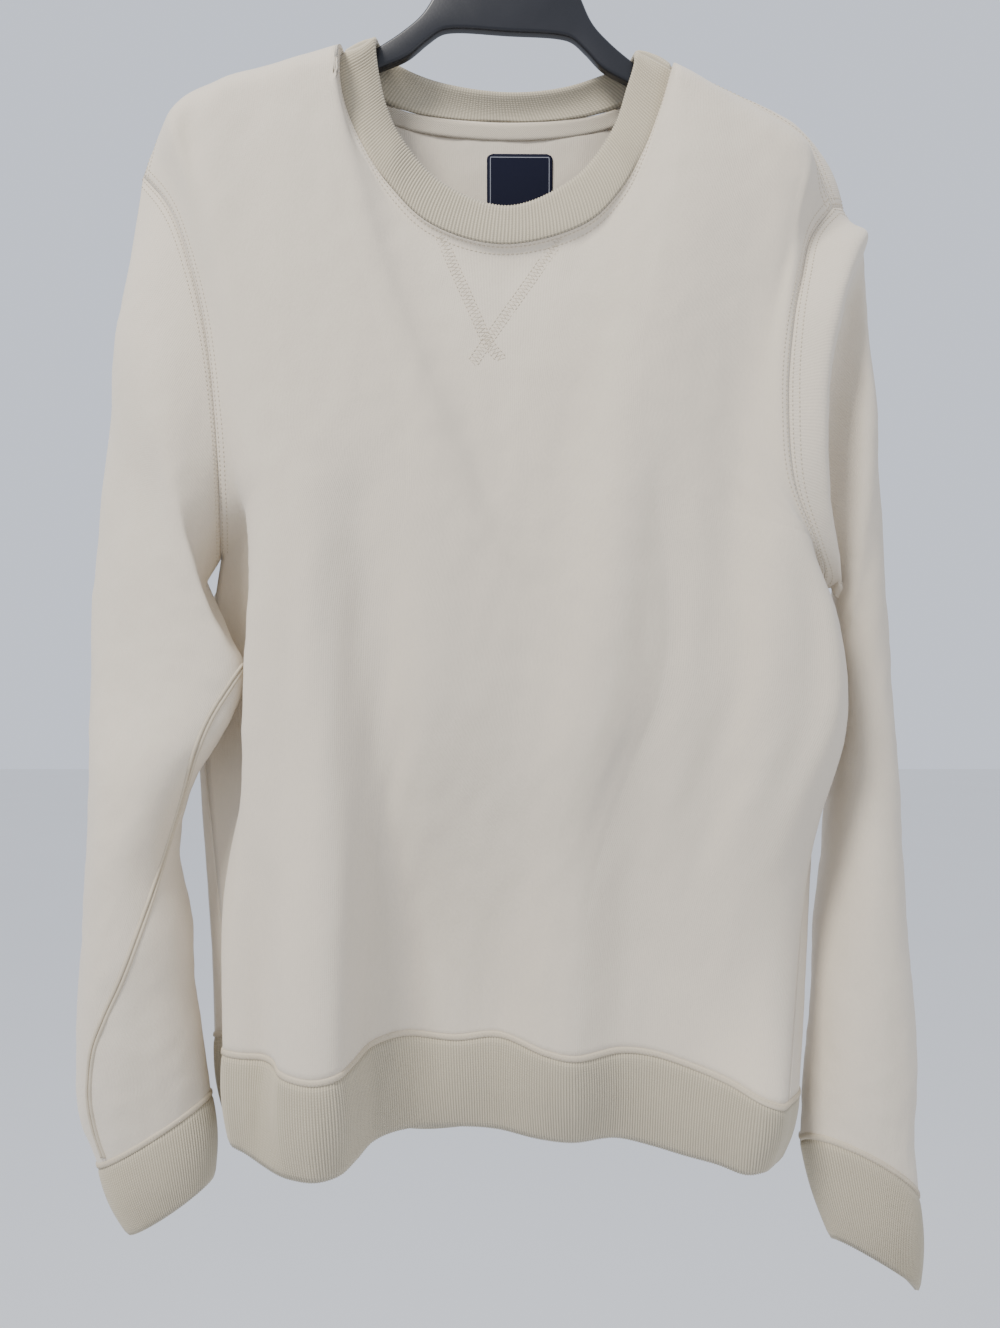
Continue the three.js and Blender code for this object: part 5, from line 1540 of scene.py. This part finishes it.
class Shader:
    """Builds one finish's material from nodes."""

    def __init__(self, name: str, color: Color, roughness: float, metallic: float = 0) -> None:
        """Makes the material.

        Args:
            name: The finish's name.
            color: Its base colour.
            roughness: Its roughness.
            metallic: Whether it is metal.
        """
        self.material = bpy.data.materials.new(name)
        self.material.use_nodes = True
        self.material.diffuse_color = (*color, 1)
        self.tree = self.material.node_tree
        self.surface = self.tree.nodes["Principled BSDF"]
        self.set("Base Color", (*color, 1))
        self.set("Roughness", roughness)
        self.set("Metallic", metallic)

    def set(self, name: str, value: Any) -> None:
        """Gives the surface a value or links one to it."""
        self.feed(self.surface.inputs[name], value)

    def feed(self, socket: bpy.types.NodeSocket, value: Any) -> None:
        """Gives a socket a value or a link."""
        if isinstance(value, Signal):
            self.tree.links.new(value.socket, socket)
        else:
            socket.default_value = value

    def node(
        self, kind: str, settings: dict[str, Any] | None = None, inputs: dict[Any, Any] | None = None,
        output: Any = 0,
    ) -> Signal:
        """Adds a node.

        Args:
            kind: The node's type.
            settings: Its settings, set before its sockets.
            inputs: Values or links by socket name or number.
            output: The output to return.

        Returns:
            The output, ready for more maths.
        """
        made = self.tree.nodes.new(kind)
        for name, value in (settings or {}).items():
            setattr(made, name, value)
        for name, value in (inputs or {}).items():
            self.feed(made.inputs[name], value)
        return Signal(self, made.outputs[output])

    def place(self) -> Signal:
        """Returns Object coordinates."""
        return self.node("ShaderNodeTexCoord", output="Object")

    def pattern(self) -> tuple[Signal, Signal]:
        """Returns the pattern coordinates along and across the cloth."""
        both = self.node("ShaderNodeUVMap")
        split = self.node("ShaderNodeSeparateXYZ", None, {0: both})
        return split, Signal(self, split.socket.node.outputs[1])

    def grain(self, size: float, detail: float = 2, stretch: Color = (1, 1, 1)) -> Signal:
        """Returns noise of a grain size in metres, from 0 to 1."""
        turned = self.node("ShaderNodeMapping", None, {"Vector": self.place(), "Scale": stretch})
        return self.node(
            "ShaderNodeTexNoise", None, {"Vector": turned, "Scale": 1 / size, "Detail": detail}, "Fac",
        )

    def mix(self, factor: Signal, low: tuple[float, ...], high: tuple[float, ...]) -> Signal:
        """Returns a colour between two colours."""
        return self.node(
            "ShaderNodeMix", {"data_type": "RGBA"}, {0: factor, 6: (*low, 1), 7: (*high, 1)}, 2,
        )

    def bump(self, height: Signal, distance: float, strength: float = 1) -> None:
        """Raises the surface by a height signal, by a distance in metres."""
        self.set("Normal", self.node(
            "ShaderNodeBump", None, {"Height": height, "Distance": distance, "Strength": strength},
        ))


def tinted(color: Color, share: float) -> Color:
    """Returns a colour made lighter or darker."""
    return tuple(min(part * share, 1) for part in color)


class Cloth(Enum):
    """The cream cloths' colours."""

    FLEECE = (0.64, 0.565, 0.455)
    RIB = (0.50, 0.44, 0.325)
    TAPE = (0.60, 0.53, 0.42)
    THREAD = (0.52, 0.45, 0.34)


@dataclass(frozen=True)
class FleeceFinish:
    """Smooth knitted face with a faint heather and a fine fuzz."""

    color: Color = Cloth.FLEECE.value

    def build(self) -> bpy.types.Material:
        """Returns the material."""
        shader = Shader("brushed_fleece", self.color, 0.9)
        along, across = shader.pattern()
        cloud = shader.grain(0.05, 3)
        heather = shader.grain(0.0016, 2, (1, 1, 0.45))
        tone = cloud * 0.5 + heather * 0.5
        shader.set("Base Color", shader.mix(tone, tinted(self.color, 0.93), tinted(self.color, 1.06)))
        shader.set("Roughness", heather * 0.1 + 0.84)
        shader.set("Sheen Weight", 0.25)
        shader.set("Sheen Roughness", 0.6)
        shader.set("Specular IOR Level", 0.2)
        wales = along.wave(0.0011)
        loops = across.wave(0.0014)
        knit = wales * 0.35 + wales * loops * 0.25
        shader.bump(knit + heather * 1.6 + cloud * 0.4, 0.00022, 0.55)
        return shader.material


@dataclass(frozen=True)
class RibFinish:
    """Ribbed knit with painted shade between its ribs; its pattern counts ribs along the band."""

    color: Color = Cloth.RIB.value
    loop: float = 0.0015

    def build(self) -> bpy.types.Material:
        """Returns the material."""
        shader = Shader("rib_knit", self.color, 0.92)
        along, across = shader.pattern()
        rib = (along * (2 * math.pi)).math("COSINE") * -0.5 + 0.5
        cloud = shader.grain(0.03, 3)
        fuzz = shader.grain(0.0009, 2)
        # Painted shade: the base colour is darkest in the valleys between the ribs and lightest on their
        # crests
        tone = rib * 0.62 + cloud * 0.2 + fuzz * 0.18
        shader.set("Base Color", shader.mix(tone, tinted(self.color, 0.62), tinted(self.color, 1.15)))
        shader.set("Roughness", fuzz * 0.1 + 0.86)
        shader.set("Sheen Weight", 0.2)
        shader.set("Sheen Roughness", 0.6)
        shader.set("Specular IOR Level", 0.2)
        loops = across.wave(self.loop) * rib * 0.5
        shader.bump(loops + fuzz * 0.8, 0.00025, 0.6)
        return shader.material


@dataclass(frozen=True)
class TapeFinish:
    """Herringbone twill, whose slant turns back every few threads."""

    color: Color = Cloth.TAPE.value
    column: float = 0.0055
    thread: float = 0.0013

    def build(self) -> bpy.types.Material:
        """Returns the material."""
        shader = Shader("herringbone_twill", self.color, 0.88)
        along, across = shader.pattern()
        turn = (across / self.column).math("PINGPONG", 1) * self.column
        slant = (along + turn).wave(self.thread) * 0.5 + 0.5
        fuzz = shader.grain(0.0008, 2)
        tone = slant * 0.75 + fuzz * 0.25
        shader.set("Base Color", shader.mix(tone, tinted(self.color, 0.72), tinted(self.color, 1.08)))
        shader.set("Roughness", fuzz * 0.08 + 0.84)
        shader.set("Specular IOR Level", 0.25)
        shader.bump(slant + fuzz * 0.4, 0.0003, 0.7)
        return shader.material


@dataclass(frozen=True)
class LabelFinish:
    """Navy satin weave with a thin pale woven border."""

    color: Color = (0.004, 0.005, 0.016)
    border: Color = (0.26, 0.27, 0.31)
    width: float = (LABEL_RIGHT - LABEL_LEFT) * MM
    height: float = LABEL_HEIGHT * MM
    inset: float = 0.0024
    line: float = 0.0005

    def build(self) -> bpy.types.Material:
        """Returns the material."""
        shader = Shader("navy_weave", self.color, 0.75)
        along, across = shader.pattern()
        from_side = (self.width / 2 - (along - self.width / 2).math("ABSOLUTE"))
        from_end = (self.height / 2 - (across - self.height / 2).math("ABSOLUTE"))
        edge = from_side.math("MINIMUM", from_end)
        stripe = (edge - self.inset).math("ABSOLUTE").math("LESS_THAN", self.line / 2)
        weft = across.wave(0.0005) * 0.5 + 0.5
        warp = along.wave(0.0007) * 0.5 + 0.5
        weave = weft * 0.6 + warp * 0.4
        ground = shader.mix(weave, tinted(self.color, 0.7), tinted(self.color, 1.7))
        tone = shader.node(
            "ShaderNodeMix", {"data_type": "RGBA"}, {0: stripe, 6: ground, 7: (*self.border, 1)}, 2,
        )
        shader.set("Base Color", tone)
        shader.set("Roughness", weave * 0.2 + 0.65)
        shader.set("Specular IOR Level", 0.15)
        shader.bump(weave, 0.0001, 0.5)
        return shader.material


@dataclass(frozen=True)
class ThreadFinish:
    """Twisted sewing thread."""

    color: Color = Cloth.THREAD.value

    def build(self) -> bpy.types.Material:
        """Returns the material."""
        shader = Shader("sewing_thread", self.color, 0.75)
        twist = shader.grain(0.0006, 1)
        shader.set("Base Color", shader.mix(twist, tinted(self.color, 0.9), tinted(self.color, 1.1)))
        shader.set("Roughness", twist * 0.15 + 0.65)
        shader.bump(twist, 0.0001, 0.4)
        return shader.material


@dataclass(frozen=True)
class BarFinish:
    """Satin black moulding with a faint grain."""

    color: Color = (0.004, 0.0045, 0.008)

    def build(self) -> bpy.types.Material:
        """Returns the material."""
        shader = Shader("satin_black", self.color, 0.36)
        grain = shader.grain(0.0012, 2)
        cloud = shader.grain(0.03, 3)
        shader.set("Base Color", shader.mix(cloud, tinted(self.color, 0.85), tinted(self.color, 1.3)))
        shader.set("Roughness", cloud * 0.12 + grain * 0.06 + 0.27)
        shader.bump(grain, 0.00006, 0.4)
        return shader.material


@dataclass(frozen=True)
class WireFinish:
    """Bright drawn wire with fine lines along it."""

    color: Color = (0.55, 0.56, 0.58)

    def build(self) -> bpy.types.Material:
        """Returns the material."""
        shader = Shader("drawn_wire", self.color, 0.28, 1)
        lines = shader.grain(0.0005, 2)
        cloud = shader.grain(0.01, 2)
        shader.set("Base Color", shader.mix(cloud, tinted(self.color, 0.85), tinted(self.color, 1.1)))
        shader.set("Roughness", lines * 0.12 + 0.2)
        shader.bump(lines, 0.00003, 0.3)
        return shader.material


@dataclass(frozen=True)
class PaleFinish:
    """The studio floor."""

    color: Color = (0.89, 0.885, 0.875)

    def build(self) -> bpy.types.Material:
        """Returns the material."""
        shader = Shader("studio_floor", self.color, 0.9)
        cloud = shader.grain(0.9, 2)
        shader.set("Base Color", shader.mix(cloud, tinted(self.color, 0.98), tinted(self.color, 1.01)))
        return shader.material


@dataclass(frozen=True)
class Lamp:
    """A square soft lamp.

    Attributes:
        name: Its name.
        place: Where it stands, in metres.
        aim: What it lights.
        size: How wide its panel is.
        power: How bright it is, in watts.
        color: Its colour.
    """

    name: str
    place: tuple[float, float, float]
    aim: tuple[float, float, float]
    size: float
    power: float
    color: Color


LAMPS = (
    Lamp("key", (-1.2, -1.4, 1.5), (-0.05, 0, -0.5), 0.7, 92, (1.0, 0.97, 0.92)),
    Lamp("fill", (1.8, -2.0, -0.2), (0, 0, -0.5), 2.0, 12, (1.0, 0.98, 0.95)),
    Lamp("rim", (0.6, 1.6, 1.2), (0, 0, -0.3), 1.4, 5, (1, 1, 1)),
)
ROOM_COLOR = (0.71, 0.76, 0.87, 1)
ROOM_STRENGTH = 1.15


@dataclass
class Studio:
    """The pale floor, the soft light and the camera."""

    eye: tuple[float, float, float] = (-0.005, -0.660, -0.532)
    focal_pixels: float = 999
    picture_height: float = 1328
    floor_z: float = -2.6
    floor_half: float = 16

    def build(self) -> None:
        """Sets up the floor, the world, the lights and the camera."""
        self.floor()
        self.world()
        self.camera()
        for lamp in LAMPS:
            self.light(lamp)

    def floor(self) -> None:
        """Lays the floor."""
        mesh = bmesh.new()
        bmesh.ops.create_grid(
            mesh, x_segments=8, y_segments=8, size=self.floor_half,
            matrix=Matrix.Translation((0, 3, self.floor_z)),
        )
        data = bpy.data.meshes.new("floor")
        mesh.to_mesh(data)
        mesh.free()
        data.materials.append(PaleFinish().build())
        floor = bpy.data.objects.new("floor", data)
        bpy.context.scene.collection.objects.link(floor)

    def world(self) -> None:
        """Gives the room a pale, slightly blue light."""
        world = bpy.data.worlds.new("room")
        world.use_nodes = True
        shade = world.node_tree.nodes["Background"]
        shade.inputs["Color"].default_value = ROOM_COLOR
        shade.inputs["Strength"].default_value = ROOM_STRENGTH
        bpy.context.scene.world = world

    def camera(self) -> None:
        """Sets the camera where the picture was taken from."""
        data = bpy.data.cameras.new("camera")
        data.sensor_width = 36
        data.lens = data.sensor_width * self.focal_pixels / self.picture_height
        data.clip_start = 0.01
        camera = bpy.data.objects.new("camera", data)
        camera.location = self.eye
        camera.rotation_euler = (math.pi / 2, 0, 0)
        bpy.context.scene.collection.objects.link(camera)
        bpy.context.scene.camera = camera

    @staticmethod
    def light(lamp: Lamp) -> None:
        """Adds a soft lamp."""
        data = bpy.data.lights.new(lamp.name, "AREA")
        data.shape = "SQUARE"
        data.size = lamp.size
        data.energy = lamp.power
        data.color = lamp.color
        made = bpy.data.objects.new(lamp.name, data)
        made.location = lamp.place
        turn = (Vector(lamp.aim) - Vector(lamp.place)).to_track_quat("-Z", "Y")
        made.rotation_euler = turn.to_euler()
        bpy.context.scene.collection.objects.link(made)


def dress(piece: bpy.types.Object, material: bpy.types.Material, slot: str, *nodes: str) -> None:
    """Gives a piece its finish, puts it under the root body and hides the solids that it replaces.

    Args:
        piece: The piece.
        material: Its material.
        slot: Not used.
        nodes: The solids that it replaces, if any.
    """
    piece.data.materials.clear()
    piece.data.materials.append(material)
    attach(piece, "root")
    if nodes:
        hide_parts(*nodes)
    LOG.info("%s: %d faces", piece.name, len(piece.data.polygons))


def main() -> None:
    """Builds the sweatshirt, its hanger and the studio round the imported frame."""
    logging.basicConfig(level=logging.INFO, format="%(name)s: %(message)s")
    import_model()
    Studio().build()
    garment = Garment()
    garment.build()
    pieces = garment.pieces
    pieces.update(NeckTrim(garment.body).build())
    pieces.update(Hanger().build())
    fleece, rib = FleeceFinish().build(), RibFinish().build()
    for node in ("front", "back", "sleeve_left", "sleeve_right"):
        dress(pieces[node], fleece, "fleece", node)
    for node in ("hem_rib", "cuff_left", "cuff_right", "collar"):
        dress(pieces[node], rib, "rib_knit", node)
    thread = ThreadFinish().build()
    for piece in Sewing(garment).build().values():
        dress(piece, thread, "fleece")
    dress(pieces["neck_tape"], TapeFinish().build(), "tape", "neck_tape")
    dress(pieces["label"], LabelFinish().build(), "label", "label")
    dress(pieces["hanger"], BarFinish().build(), "hanger", "hanger")
    dress(pieces["hook"], WireFinish().build(), "hook", "hook")


if __name__ == "__main__":
    main()
